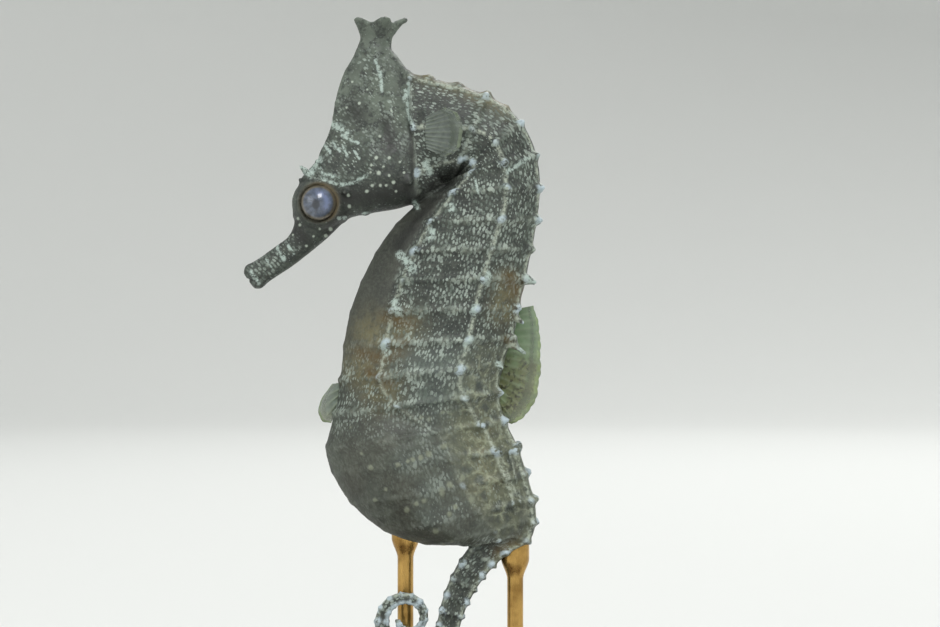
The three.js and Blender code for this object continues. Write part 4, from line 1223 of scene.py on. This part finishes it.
def make_rod(name, rod, body):
    """A turned rod with a collar on the base, and a cradle at its top pressed against the body above it."""
    x, y, cradle, top = rod
    r = ROD_RADIUS
    foot = BASE_HEIGHT
    profile = [(2.0, 0.5), (2.0, r), (foot, r), (foot, COLLAR_RADIUS - 0.1), (foot + 0.1, COLLAR_RADIUS)]
    profile += [(foot + 0.8, COLLAR_RADIUS), (foot + 0.95, COLLAR_RADIUS - 0.1), (foot + 1.0, r + 0.55)]
    for n in range(6):
        angle = math.radians(90 * n / 5)
        profile.append((foot + COLLAR_HEIGHT - 0.5 * math.cos(angle), r + 0.45 * (1 - math.sin(angle))))
    flare = cradle - CRADLE_FLARE / 2
    profile += [(height, r) for height in np.linspace(foot + COLLAR_HEIGHT + 0.2, flare, 12)]
    for n in range(1, 13):
        t = n / 12
        profile.append((flare + CRADLE_FLARE * t, r + (CRADLE_RADIUS - r) * t * t * (3 - 2 * t)))
    shaft = len(profile)
    for height in np.arange(flare + CRADLE_FLARE + 0.2, top, 0.2):
        profile.append((height, CRADLE_RADIUS))
    profile += [(top, CRADLE_RADIUS * (1 - n / 8)) for n in range(8)]
    vertices, faces = lathe(profile, (x, y, 0), (0, 0, 1), ROD_TURNS)
    tree = BVHTree.FromObject(body, bpy.context.evaluated_depsgraph_get())
    start = flare - 0.5
    for n in range(shaft * ROD_TURNS, len(vertices)):
        place = vertices[n]
        hit = tree.ray_cast(Vector((place[0], place[1], start)) * MM, Vector((0, 0, 1)))[0]
        if hit is not None:
            place[2] = min(place[2], hit.z / MM + 0.06)
    return new_object(name, vertices, faces)


dress(make_base(), wood_look(), "base_wood", "stand_base")
brass = brass_look()
dress(make_rod("rod_tail", TAIL_ROD, skin), brass, "rod_brass", "stand_rod_tail")
dress(make_rod("rod_pouch", POUCH_ROD, skin), brass, "rod_brass", "stand_rod_pouch")

# ------------------------------------------------------------------ surroundings


FLOOR_TURNS = 96
FLOOR_RADIUS = 900
FLOOR_BEND = 500
WALL_TOP = 1600.0


def make_surroundings():
    """A round floor that bends up into a plain wall."""
    turn = FLOOR_TURNS
    bend = FLOOR_BEND
    rows = [(0.0, 0.0), (FLOOR_RADIUS, 0.0)]
    for n in range(1, 13):
        angle = math.radians(90 * n / 12)
        rows.append((FLOOR_RADIUS + bend * math.sin(angle), bend * (1 - math.cos(angle))))
    rows.append((FLOOR_RADIUS + bend, WALL_TOP))
    vertices = [(0, 0, 0)]
    for radius, height in rows[1:]:
        for i in range(turn):
            angle = 2 * math.pi * i / turn
            vertices.append((radius * math.cos(angle), radius * math.sin(angle), height))
    faces = [(0, 1 + i, 1 + (i + 1) % turn) for i in range(turn)]
    for row in range(len(rows) - 2):
        for i in range(turn):
            a = 1 + row * turn + i
            b = 1 + row * turn + (i + 1) % turn
            faces.append((a, a + turn, b + turn, b))
    floor = new_object("floor", vertices, faces)
    material = bpy.data.materials.new("floor")
    material.use_nodes = True
    shader = material.node_tree.nodes["Principled BSDF"]
    shader.inputs["Base Color"].default_value = (0.72, 0.73, 0.71, 1)
    shader.inputs["Roughness"].default_value = 0.9
    floor.data.materials.append(material)


def make_lights():
    world = bpy.data.worlds.new("studio")
    bpy.context.scene.world = world
    world.use_nodes = True
    world.node_tree.nodes["Background"].inputs["Color"].default_value = (0.96, 0.98, 1, 1)
    world.node_tree.nodes["Background"].inputs["Strength"].default_value = 0.33
    for name, place, size, power in (
        ("key", (0.2, -0.7, 1.0), 0.5, 9.0),
        ("fill", (-0.7, -0.4, 0.35), 0.6, 1.6),
        ("rim", (0.3, 0.7, 0.8), 0.5, 6.0),
    ):
        light = bpy.data.lights.new(name, "AREA")
        light.size = size
        light.energy = power
        lamp = bpy.data.objects.new(name, light)
        lamp.location = place
        aim = Vector((0, 0, 0.05)) - lamp.location
        lamp.rotation_euler = aim.to_track_quat("-Z", "Y").to_euler()
        bpy.context.scene.collection.objects.link(lamp)


# Millimetres: the camera's place, its lens and its sensor's width.
CAMERA_PLACE = (3.75, -300, 54.8)
CAMERA_LENS = 91.9
CAMERA_SENSOR = 36


def make_camera():
    camera = bpy.data.cameras.new("camera")
    camera.sensor_width = CAMERA_SENSOR
    camera.lens = CAMERA_LENS
    camera.clip_start = 0.01
    camera.clip_end = 10
    holder = bpy.data.objects.new("camera", camera)
    holder.location = [along * MM for along in CAMERA_PLACE]
    holder.rotation_euler = (math.pi / 2, 0, 0)
    bpy.context.scene.collection.objects.link(holder)
    bpy.context.scene.camera = holder


make_surroundings()
make_lights()
make_camera()
bpy.context.scene.view_settings.view_transform = "Standard"
